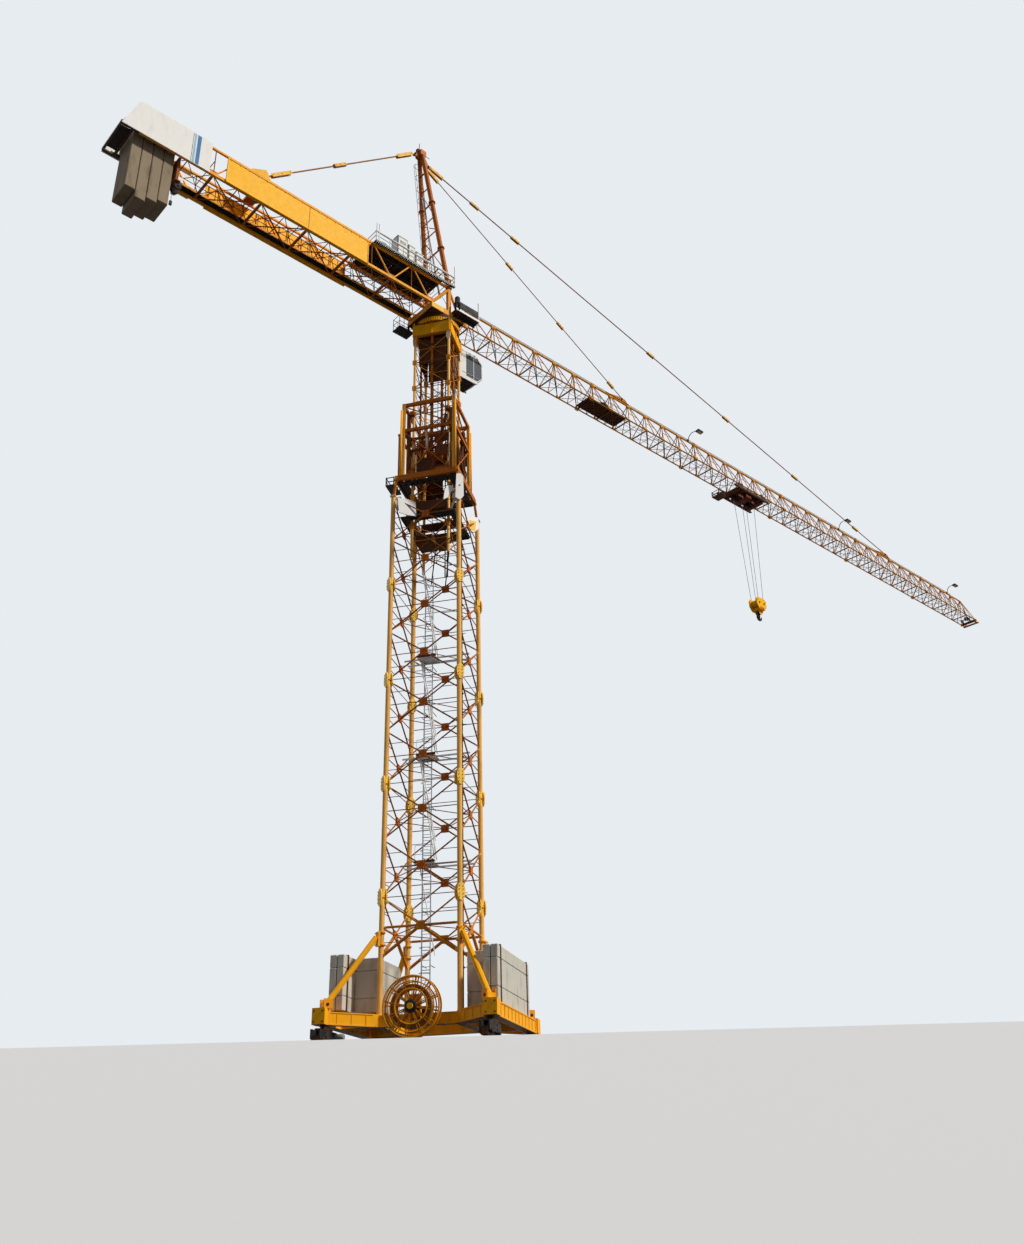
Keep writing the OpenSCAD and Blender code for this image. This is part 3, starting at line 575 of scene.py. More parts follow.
@dataclass(frozen=True)
class Finish:
    """A painted, metal, concrete or rubber surface with wear, all from Object coordinates.

    Attributes:
        name: name of the material.
        color: base colour, linear.
        roughness: mean roughness.
        metallic: 1 for bare metal.
        dirt: how strongly dirt darkens the colour, 0 to 1.
        dirt_color: colour of the dirt.
        rust: share of rusty spots, 0 to 1.
        fade: how strongly the sun has paled patches of the paint.
        grain: height of the fine surface grain in metres.
        streak: stretch of the dirt along the vertical.
        scale: size factor of the patches.
        gloss: specular level of the paint.
        zones: stretches with a colour of their own, the last one on top; several are painted highlights and painted
            shade.
    """

    name: str
    color: Tuple[float, float, float]
    roughness: float = 0.50
    metallic: float = 0.0
    dirt: float = 0.35
    dirt_color: Tuple[float, float, float] = (0.05, 0.035, 0.02)
    rust: float = 0.12
    fade: float = 0.25
    grain: float = 0.00015
    streak: float = 3.0
    scale: float = 1.0
    gloss: float = 0.08
    zones: Tuple[Zone, ...] = ()

    def make(self) -> bpy.types.Material:
        """Builds the node material.

        Returns:
            The material.
        """
        material = bpy.data.materials.new(self.name)
        material.use_nodes = True
        nodes, links = material.node_tree.nodes, material.node_tree.links
        shader = nodes["Principled BSDF"]
        shader.inputs["Metallic"].default_value = self.metallic
        shader.inputs["Specular IOR Level"].default_value = self.gloss
        coords = nodes.new("ShaderNodeTexCoord").outputs["Object"]
        stretch = nodes.new("ShaderNodeMapping")
        stretch.inputs["Scale"].default_value = (1, 1, 1 / self.streak)
        links.new(coords, stretch.inputs["Vector"])

        def noise(source: bpy.types.NodeSocket, scale: float, detail: float) -> bpy.types.NodeSocket:
            node = nodes.new("ShaderNodeTexNoise")
            node.inputs["Scale"].default_value = scale * self.scale
            node.inputs["Detail"].default_value = detail
            links.new(source, node.inputs["Vector"])
            return node.outputs["Fac"]

        def ramp(source: bpy.types.NodeSocket, low: float, high: float, top: float) -> bpy.types.NodeSocket:
            node = nodes.new("ShaderNodeMapRange")
            node.interpolation_type = "SMOOTHSTEP"
            node.inputs["From Min"].default_value = low
            node.inputs["From Max"].default_value = high
            node.inputs["To Max"].default_value = top
            links.new(source, node.inputs["Value"])
            return node.outputs["Result"]

        def mix(fac: bpy.types.NodeSocket, first: bpy.types.NodeSocket, second: Tuple[float, ...]) -> bpy.types.NodeSocket:
            node = nodes.new("ShaderNodeMix")
            node.data_type = "RGBA"
            links.new(fac, node.inputs["Factor"])
            links.new(first, node.inputs["A"])
            node.inputs["B"].default_value = (*second, 1)
            return node.outputs["Result"]

        base = nodes.new("ShaderNodeRGB")
        base.outputs[0].default_value = (*self.color, 1)
        pale = tuple(min(0.9, c * 1.15 + 0.006) for c in self.color)
        color = mix(ramp(noise(coords, 7, 3), 0.45, 0.75, self.fade), base.outputs[0], pale)
        for zone in self.zones:
            color = mix(zone.mask(coords, nodes, links), color, zone.color)
        color = mix(ramp(noise(stretch.outputs[0], 24, 6), 0.48, 0.8, self.dirt), color, self.dirt_color)
        spots = ramp(noise(coords, 90, 4), 0.72 - 0.16 * self.rust, 0.78 - 0.12 * self.rust, min(1.0, self.rust * 5))
        color = mix(spots, color, (0.16, 0.055, 0.018))
        links.new(color, shader.inputs["Base Color"])
        rough = nodes.new("ShaderNodeMapRange")
        rough.inputs["To Min"].default_value = max(0.05, self.roughness - 0.12)
        rough.inputs["To Max"].default_value = min(1.0, self.roughness + 0.2)
        links.new(noise(coords, 40, 5), rough.inputs["Value"])
        links.new(rough.outputs["Result"], shader.inputs["Roughness"])
        bump = nodes.new("ShaderNodeBump")
        bump.inputs["Strength"].default_value = 0.6
        bump.inputs["Distance"].default_value = self.grain
        links.new(noise(coords, 450, 3), bump.inputs["Height"])
        links.new(bump.outputs["Normal"], shader.inputs["Normal"])
        return material


@dataclass(frozen=True)
class Glass:
    """Tinted cabin glass."""

    name: str = "cabin glass"
    color: Tuple[float, float, float] = (0.02, 0.03, 0.035)

    def make(self) -> bpy.types.Material:
        """Builds the material.

        Returns:
            A dark glossy pane.
        """
        material = bpy.data.materials.new(self.name)
        material.use_nodes = True
        shader = material.node_tree.nodes["Principled BSDF"]
        shader.inputs["Base Color"].default_value = (*self.color, 1)
        shader.inputs["Roughness"].default_value = 0.06
        shader.inputs["Coat Weight"].default_value = 1.0
        return material


class Palette:
    """All finishes of the crane, made once."""

    def __init__(self) -> None:
        """Makes every material."""
        f = Finish
        # pale colour of the mast's legs: a painted highlight; dark brown of the face nodes: painted shade
        legs = (0.90, 0.49, 0.12)
        corner = ((Axis.X, 0.190, 0.021), (Axis.Y, 0.190, 0.021))
        nodes = tuple(Zone((0.50, 0.125, 0.014), ((one, 0.0, 0.026), (other, 0.190, 0.012)), turn=MAST_TURN)
                      for one, other in ((Axis.X, Axis.Y), (Axis.Y, Axis.X)))
        plates = tuple(Zone((0.96, 0.62, 0.11), ((Axis.X, 0.190, 0.034), (Axis.Y, 0.190, 0.034),
                                                 (Axis.Z, 0.113 + 0.558 * i, 0.040)), turn=MAST_TURN) for i in range(1, 5))
        self.orange = f("orange frame paint", (0.82, 0.32, 0.012)).make()
        self.side_orange = f("jib side paint", (0.72, 0.27, 0.012)).make()
        # base paint, with a dark band at the beams' underside as painted shade
        self.base_paint_and_shade = f("yellow-orange base paint", (0.93, 0.42, 0.008), dirt=0.25, fade=0.1, zones=(
            Zone((0.10, 0.034, 0.012), ((Axis.Z, 0.087, 0.0045),)),)).make()
        # head paint, with a dark band under the head box as painted shade
        self.head_paint_and_shade = f("head paint", (0.94, 0.44, 0.008), dirt=0.3, zones=(
            Zone((0.11, 0.036, 0.010), ((Axis.Z, 4.0, 0.092),)),)).make()
        # mast sections: braces dark brown as painted shade, legs pale as a painted highlight; the lowest section's
        # braces a lighter brown, also painted shade
        self.mast_paint_lit_and_shaded = f("mast paint", (0.36, 0.115, 0.012), zones=nodes + (Zone(legs, corner, turn=MAST_TURN),) + plates).make()
        self.lowest_mast_paint_lit_and_shaded = f("lowest mast section paint", (0.55, 0.19, 0.012),
                                   zones=(Zone(legs, corner, turn=MAST_TURN),) + plates).make()
        # inner mast: dark brown as painted shade, its legs pale as a painted highlight
        self.inner_mast_paint_lit_and_shaded = f("inner mast paint", (0.27, 0.085, 0.012), zones=(
            Zone((0.97, 0.56, 0.16), ((Axis.X, 0.106, 0.015), (Axis.Y, 0.106, 0.015)), turn=MAST_TURN),)).make()
        # climbing cage: dark brown as painted shade, its inner corner posts paler as painted highlights, its outer
        # corners orange
        self.cage_paint_lit_and_shaded = f("climbing cage paint", (0.42, 0.12, 0.012), dirt=0.45, zones=(
            Zone((0.94, 0.48, 0.06), ((Axis.X, 0.152, 0.0095), (Axis.Y, 0.152, 0.0095)), turn=MAST_TURN),
            Zone((0.80, 0.30, 0.02), ((Axis.X, 0.180, 0.009), (Axis.Y, 0.180, 0.009)), turn=MAST_TURN))).make()
        # jib: braces dark brown as painted shade, chords orange, and the bottom face's inner members darker still as
        # painted shade
        self.jib_paint_and_shade = f("jib paint", (0.42, 0.14, 0.012), zones=(
            Zone((0.86, 0.37, 0.018), ((Axis.Y, 0.074, 0.011), (Axis.Z, 4.298, 0.011))),
            Zone((0.86, 0.37, 0.018), ((Axis.Z, 4.508, 0.013),)),
            Zone((0.12, 0.045, 0.016), ((Axis.Y, 0.0, 0.061), (Axis.Z, 4.298, 0.010))))).make()
        # counter-jib: inner members dark brown as painted shade, side chords orange, a yellow zone round the rear tie's
        # lower end, and the tail end dark as painted shade
        self.counter_jib_paint_and_shade = f("counter-jib paint", (0.34, 0.095, 0.012), zones=(
            Zone((0.90, 0.38, 0.012), ((Axis.Y, 0.110, 0.014),)),
            Zone((0.92, 0.47, 0.010), ((Axis.X, -1.22, 0.17), (Axis.Z, 4.605, 0.085)), mirrored=False),
            Zone((0.07, 0.045, 0.03), ((Axis.X, -2.115, 0.085),), mirrored=False))).make()
        # dark brown for the plates inside the climbing cage: painted shade, with real rust spots
        self.shaded_brown = f("rusty brown plate", (0.17, 0.055, 0.018), roughness=0.7, rust=0.4).make()
        # pale colour of the tie straps: a painted highlight
        self.strap_highlight_paint = f("pale tie straps", (0.88, 0.50, 0.07), dirt=0.3).make()
        self.old_zinc = f("old zinc", (0.22, 0.24, 0.22), roughness=0.6, metallic=0.2, dirt=0.4).make()
        self.deep_orange = f("deep orange paint", (0.50, 0.135, 0.010), dirt=0.3).make()
        self.yellow = f("yellow panel paint", (1.0, 0.50, 0.004), rust=0.02, dirt=0.10, fade=0.1).make()
        self.white = f("white panel paint", (0.82, 0.82, 0.79), dirt=0.12, rust=0.02, fade=0.1).make()
        self.blue = f("blue stripe paint", (0.04, 0.19, 0.45), fade=0.1, rust=0.03).make()
        self.light_blue = f("light blue stripe paint", (0.30, 0.56, 0.76), fade=0.1, rust=0.03).make()
        self.dark_steel = f("dark steel", (0.022, 0.019, 0.018), roughness=0.55, dirt=0.4, rust=0.3,
                            dirt_color=(0.10, 0.08, 0.06)).make()
        self.brown = f("brown steel", (0.085, 0.030, 0.012), roughness=0.6, rust=0.35,
                       dirt_color=(0.02, 0.015, 0.012)).make()
        self.galvanised = f("galvanised steel", (0.46, 0.48, 0.49), roughness=0.5, metallic=0.55, dirt=0.3,
                            rust=0.06).make()
        self.tan_concrete = f("warm concrete", (0.29, 0.235, 0.165), gloss=0.02, roughness=0.85, grain=0.0012, rust=0.02,
                              dirt=0.45, fade=0.35).make()
        self.grey_concrete = f("grey concrete", (0.55, 0.54, 0.48), gloss=0.02, roughness=0.88, grain=0.0012, rust=0.0,
                               dirt=0.4, fade=0.3).make()
        self.rubber = f("cable rubber", (0.012, 0.012, 0.013), roughness=0.6, dirt=0.2, rust=0.0, fade=0.1).make()
        self.cabin_white = f("cabin paint", (0.76, 0.77, 0.76), dirt=0.25, rust=0.03, fade=0.05).make()
        self.grey_box = f("grey cabinet paint", (0.27, 0.29, 0.28), dirt=0.35, rust=0.08).make()
        self.pale_rod = f("worn tie paint", (0.40, 0.17, 0.05), dirt=0.3, fade=0.3).make()
        self.bright_orange = f("light orange paint", (0.88, 0.40, 0.03), dirt=0.2, rust=0.06).make()
        self.bright_yellow = f("light yellow paint", (0.90, 0.56, 0.07), dirt=0.2, rust=0.05).make()
        self.dark_orange = f("shaded orange paint", (0.34, 0.105, 0.022), dirt=0.45).make()
        self.rust_brown = f("rusty plate", (0.30, 0.10, 0.035), roughness=0.8, rust=0.5).make()
        self.bright_white = f("handrail white", (0.86, 0.87, 0.86), dirt=0.12, rust=0.04, fade=0.05).make()
        self.cream = f("cream primer", (0.86, 0.72, 0.50), dirt=0.3, rust=0.1).make()
        self.red_lamp = f("red lamp glass", (0.45, 0.02, 0.015), roughness=0.15, rust=0.0, dirt=0.1).make()
        self.lens = f("lamp glass", (0.55, 0.57, 0.58), roughness=0.12, rust=0.0, dirt=0.1).make()
        # dark brown of the thin braces: painted shade
        self.shaded_brace_brown = f("brown bracing paint", (0.20, 0.062, 0.014), dirt=0.4, rust=0.3).make()
        self.red_brown = f("red-brown platform paint", (0.16, 0.030, 0.012), dirt=0.3).make()
        self.red_orange = f("red-orange drive paint", (0.58, 0.10, 0.015), dirt=0.2).make()
        self.cable_brown = f("dusty cable", (0.28, 0.11, 0.025), roughness=0.7, dirt=0.4, rust=0.0).make()
        self.rope = f("steel rope", (0.10, 0.095, 0.09), roughness=0.5, metallic=0.6, rust=0.05).make()
        self.glass = Glass().make()


# Which finish each CAD node that stays visible takes
NODE_LOOKS: Dict[str, str] = {
    "chassis_frame": "base_paint_and_shade", "rail_bogies": "dark_steel", "corner_struts": "base_paint_and_shade",
    "ballast_left": "grey_concrete", "ballast_right": "grey_concrete", "cable_reel": "side_orange",
    "mast_section_1": "lowest_mast_paint_lit_and_shaded", "mast_section_2": "mast_paint_lit_and_shaded", "mast_section_3": "mast_paint_lit_and_shaded",
    "mast_section_4": "mast_paint_lit_and_shaded", "mast_section_5": "mast_paint_lit_and_shaded", "mast_ladder": "galvanised", "mast_cable": "rubber",
    "inner_mast": "inner_mast_paint_lit_and_shaded", "climbing_cage": "cage_paint_lit_and_shaded", "cage_platform": "dark_steel", "mast_collar": "white",
    "tower_head": "head_paint_and_shade", "slewing_platform": "orange", "operator_cabin": "cabin_white",
    "cabin_walkway": "galvanised", "tower_top": "deep_orange", "counter_jib_frame": "counter_jib_paint_and_shade",
    "yellow_side_panels": "yellow", "white_side_panels": "white", "counterweight_1": "tan_concrete",
    "counterweight_2": "tan_concrete", "counterweight_3": "tan_concrete", "counterweight_4": "tan_concrete",
    "machinery_deck": "galvanised", "hoist_winch": "grey_box", "control_cabinets": "grey_box",
    "bottom_walkway": "dark_steel", "rear_tie": "pale_rod", "front_tie_outer": "pale_rod",
    "front_tie_inner": "pale_rod", "jib_inner": "jib_paint_and_shade", "jib_middle": "jib_paint_and_shade", "jib_outer": "jib_paint_and_shade",
    "trolley_winch": "brown", "jib_lamps": "dark_steel", "trolley": "brown", "hoist_ropes": "rope",
    "hook_block": "yellow", "crane_hook": "dark_steel",
}


def dress_nodes(palette: Palette) -> None:
    """Gives every CAD node its finish.

    Args:
        palette: the materials.
    """
    for name, look in NODE_LOOKS.items():
        node = frame["nodes"][name]
        node.data.materials.clear()
        node.data.materials.append(getattr(palette, look))
    LOG.info("dressed %d nodes", len(NODE_LOOKS))


# Shared building blocks of the sub-assemblies


def rows(x: object, y: object, z: object) -> np.ndarray:
    """Points from coordinates that may be numbers or arrays.

    Args:
        x: X values.
        y: Y values.
        z: Z values.

    Returns:
        N x 3 array of every broadcast combination.
    """
    return np.stack(np.broadcast_arrays(*(np.asarray(v, float) for v in (x, y, z))), axis=-1).reshape(-1, 3)


def spread(start: float, stop: float, gap: float) -> np.ndarray:
    """Even positions along a stretch.

    Args:
        start: first position.
        stop: last position.
        gap: largest distance between two.

    Returns:
        The positions, both ends included.
    """
    return np.linspace(start, stop, max(1, math.ceil(abs(stop - start) / gap)) + 1)


def axle(origin: Point, along: Point) -> np.ndarray:
    """Frame of a turned body whose axis points along a direction.

    Args:
        origin: where the frame's origin stands.
        along: direction of the axis.

    Returns:
        The matrix, with Z along the axis.
    """
    side = (0, 0, 1) if abs(along[2]) < 0.9 else (1, 0, 0)
    return place(origin, tuple(np.cross(side, along)), along)


class Assembly:
    """A sub-assembly: it builds its pieces and puts each on the body that carries it."""

    def __init__(self, palette: Palette) -> None:
        """Keeps the finishes.

        Args:
            palette: the finishes.
        """
        self.palette = palette

    def put(self, shape: Shape, body: Body, looks: Sequence[str], slot: str = "", instead: Sequence[str] = ()) -> None:
        """Builds a shape and mounts it.

        Args:
            shape: the gathered faces.
            body: body that carries the piece.
            looks: names of the palette's finishes, in the order of the look indices.
            slot: material slot of the record.
            instead: CAD nodes that the piece stands for.
        """
        piece = shape.build([getattr(self.palette, name) for name in looks])
        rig.ride(piece, body.value)
        if instead:
            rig.replaces(piece, *instead)
        if slot:
            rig.slot(piece, slot)
        LOG.info("%s: %d faces on %s", shape.name, len(piece.data.polygons), body.value)

    def build(self) -> None:
        """Makes every piece of the sub-assembly."""
        raise NotImplementedError


def winding(shape: Shape, at: np.ndarray, radius: float, half: float, rope: float, look: int = 0) -> None:
    """Rope wound on a drum, as one turned body with a wavy outside.

    Args:
        shape: shape that takes the faces.
        at: frame whose Z is the drum's axis.
        radius: outer radius of the rope layer.
        half: half of the wound length.
        rope: diameter of the rope.
        look: finish index.
    """
    turns = int(2 * half / rope)
    h = np.linspace(-half, half, turns * 4 + 1)
    r = radius - rope * 0.28 * (1 - np.cos(np.linspace(0, 2 * np.pi * turns, len(h)))) / 1.4
    outline = [(radius - rope * 1.6, -half), *zip(r, h), (radius - rope * 1.6, half)]
    shape.lathe(outline, at, 28, look)


def sheave(shape: Shape, at: np.ndarray, radius: float, width: float, look: int = 0) -> None:
    """A rope sheave with a groove and a hub.

    Args:
        shape: shape that takes the faces.
        at: frame whose Z is the axle.
        radius: outer radius.
        width: width over the rims.
        look: finish index.
    """
    w, r = width / 2, radius
    shape.lathe([(r * 0.2, -w * 1.3), (r * 0.34, -w * 1.3), (r * 0.36, -w * 0.4), (r * 0.8, -w * 0.4), (r * 0.84, -w),
                 (r, -w), (r * 0.86, 0), (r, w), (r * 0.84, w), (r * 0.8, w * 0.4), (r * 0.36, w * 0.4),
                 (r * 0.34, w * 1.3), (r * 0.2, w * 1.3)], at, 32, look)


def handrail(shape: Shape, x: Tuple[float, float], y: float, z: float, height: float, look: int = 0,
             gap: float = 0.14, width: float = 0.004) -> None:
    """A straight handrail along X with a top rail, a knee rail and posts.

    Args:
        shape: shape that takes the faces.
        x: ends of the rail.
        y: sideways place.
        z: foot of the posts.
        height: height of the top rail.
        look: finish index.
        gap: largest distance between posts.
        width: thickness of the rails.
    """
    posts = spread(x[0], x[1], gap)
    shape.bars(rows(posts, y, z), rows(posts, y, z + height), width, 6, look)
    for share in (0.5, 1.0):
        shape.bars((x[0], y, z + height * share), (x[1], y, z + height * share), width, 6, look)


# The slewing part: counter-jib, deck, tower top, cabin


@dataclass
class CounterJib(Assembly):
    """Trim of the counter-jib: stripes, seams, walkway and counterweights.

    Attributes:
        palette: the finishes.
        face: sideways place of the panels' outer face.
        low: underside of the panels.
        floor: height of the bottom chords.
    """

    palette: Palette
    face: float = 0.1235
    low: float = 4.286
    floor: float = 4.298

    def stripes(self) -> None:
        """Plain stripes and edge lips of the white panels."""
        shape = Shape("white_panel_stripes")
        for side in (-1, 1):
            y = side * self.face
            # return lip of the panel's sloping end, seen through the open tail
            shape.plate([(-2.126, 4.288), (-2.092, 4.288), (-2.020, 4.484), (-2.052, 4.484)][::-1], 0.003,
                        place((0, side * 0.1010, 0), (1, 0, 0), (0, 1, 0)) @ np.diag([1.0, -1.0, -1.0, 1.0]), 3)
            shape.boxes(rows(-1.752, y, 4.392), (0.003, 0.001, 0.206), 2)
            shape.boxes(rows(-1.7405, y, 4.392), (0.010, 0.001, 0.206), 1)
            shape.boxes(rows(-1.7175, y, 4.392), (0.020, 0.001, 0.206), 0)
        self.put(shape, Body.UPPER, ("blue", "light_blue", "grey_box", "white"), "white_panel")

    def seams(self) -> None:
        """Edge lips, seam and stiffeners of the yellow panels."""
        shape = Shape("yellow_panel_trim")
        ribs = spread(-1.53, -0.63, 0.15)
        for side in (-1, 1):
            y = side * self.face
            for z in (self.low + 0.002, 4.461):
                shape.boxes(rows(-1.083, y, z), (0.928, 0.005, 0.004))
            for x in (-1.545, -0.621):
                shape.boxes(rows(x, y, 4.373), (0.004, 0.005, 0.172))
            shape.boxes(rows(-1.026, y, 4.373), (0.003, 0.0014, 0.170), 1)
            shape.boxes(rows(ribs, side * 0.1165, 4.373), (0.006, 0.005, 0.17), 2)
            shape.bars(rows(spread(-1.53, -0.63, 0.06), y, 4.452), rows(spread(-1.53, -0.63, 0.06), y + side * 0.002, 4.452),
                       0.004, 6, 1)
        self.put(shape, Body.UPPER, ("yellow", "deep_orange", "dark_orange"), "yellow_panel")

    def bottom(self) -> None:
        """Finer bracing, brackets and the walkway's grating under the counter-jib."""
        shape = Shape("counter_jib_fine_bracing")
        nodes = -0.144 - 0.2938 * np.arange(7)
        mids = (nodes[1:] + nodes[:-1]) / 2
        shape.bars(rows(mids, -0.108, self.floor), rows(mids, 0.066, self.floor), 0.006, 6, 0)
        for a, b in ((-0.106, 0.066), (0.066, -0.106)):
            shape.bars(rows(nodes[:-1], a, self.floor + 0.003), rows(mids, b, self.floor + 0.003), 0.0045, 5, 0)
            shape.bars(rows(mids, a, self.floor + 0.003), rows(nodes[1:], b, self.floor + 0.003), 0.0045, 5, 0)
        for side in (-1, 1):
            # gussets at the lattice nodes, a rail along the chord and struts behind the panels
            y = side * 0.110
            shape.boxes(rows(nodes, y, self.floor + 0.014), (0.05, 0.004, 0.026), 1)
            shape.boxes(rows(mids, y, 4.470), (0.05, 0.004, 0.026), 1)
            shape.bars(rows(nodes[2:], y, self.floor), rows(nodes[2:], y, 4.478), 0.006, 6, 0)
            shape.bars(rows(mids, y, self.floor), rows(mids, y, 4.478), 0.0045, 6, 0)
        for z in (4.31, 4.40):
            shape.bars(rows(nodes, -0.104, z), rows(nodes, 0.104, z), 0.005, 6, 0)
        self.put(shape, Body.UPPER, ("dark_orange", "deep_orange"), "red_orange_frame")
        grating = Shape("bottom_walkway_grating")
        x = spread(-1.798, -0.150, 0.011)
        grating.boxes(rows(x, 0.085, 4.3035), (0.002, 0.037, 0.003))
        grating.boxes(rows(-0.974, np.array([0.07, 0.085, 0.1]), 4.302), (1.652, 0.002, 0.004))
        edge = spread(-1.72, -0.24, 0.2938)
        grating.boxes(rows(edge, 0.0655, 4.309), (0.235, 0.002, 0.016), 1)
        grating.boxes(rows(-2.089, 0, 4.3035), (0.07, 0.17, 0.003), 0)
        handrail(grating, (-1.78, -0.17), 0.0665, 4.309, 0.09, 0, 0.2938)
        self.put(grating, Body.UPPER, ("dark_steel", "bright_orange"), "dark_steel")

    def weights(self) -> None:
        """The four counterweight slabs with worn edges, and their bearers."""
        low = (3.944, 3.902, 3.934, 3.958)
        for i, z0 in enumerate(low):
            x = -2.044 + i * 0.058 + 0.025
            shape = Shape(f"counterweight_slab_{i + 1}")
            top = 4.3375
            shape.boxes((x, 0, (z0 + top) / 2), (0.0548, 0.15, top - z0), 0, None, 0.0028)
            shape.boxes((x, 0, 4.3275), (0.05, 0.21, 0.04), 0, None, 0.0028)
            # cast-in frame edge, lifting loops and rods
            shape.boxes(rows(x, np.array([-0.0752, 0.0752]), z0 + 0.004), (0.050, 0.0010, 0.004), 1)
            for y in (-0.06, 0.06):
                shape.tube([(x - 0.012, y, 4.345), (x - 0.012, y, 4.362), (x, y, 4.371), (x + 0.012, y, 4.362),
                            (x + 0.012, y, 4.345)], 0.005, 6, 1)
            self.put(shape, Body.UPPER, ("tan_concrete", "brown"), "tan_concrete", (f"counterweight_{i + 1}",))

    def tackle(self) -> None:
        """The small hoist that lifts the slabs, beside the innermost one."""
        shape = Shape("counterweight_tackle")
        x = -1.792
        shape.boxes((x, -0.045, 4.222), (0.014, 0.07, 0.138), 0)
        shape.boxes((x + 0.004, -0.045, 4.154), (0.03, 0.08, 0.006), 0)
        shape.boxes((x + 0.022, -0.05, 4.178), (0.03, 0.046, 0.036), 1)
        shape.boxes((x + 0.016, -0.02, 4.135), (0.022, 0.03, 0.03), 1)
        winding(shape, axle((x + 0.012, -0.05, 4.125), (0, 1, 0)), 0.017, 0.018, 0.003, 2)
        for side in (-1, 1):
            shape.lathe([(0.003, -0.002), (0.022, -0.002), (0.022, 0.002), (0.003, 0.002)],
                        axle((x + 0.012, -0.05 + side * 0.021, 4.125), (0, 1, 0)), 24, 3)
        shape.bars((x - 0.004, -0.05, 4.125), (x - 0.004, -0.05, 4.02), 0.0022, 6, 2)
        shape.boxes((x - 0.004, -0.05, 4.012), (0.014, 0.01, 0.026), 3)
        for y in (-0.075, -0.02):
            shape.bars((x, y, 4.28), (x, y, 4.15), 0.005, 6, 3)
        self.put(shape, Body.UPPER, ("rust_brown", "white", "rope", "dark_steel"), "brown_steel")

    def build(self) -> None:
        """Makes every piece."""
        self.stripes()
        self.seams()
        self.bottom()
        self.weights()
        self.tackle()


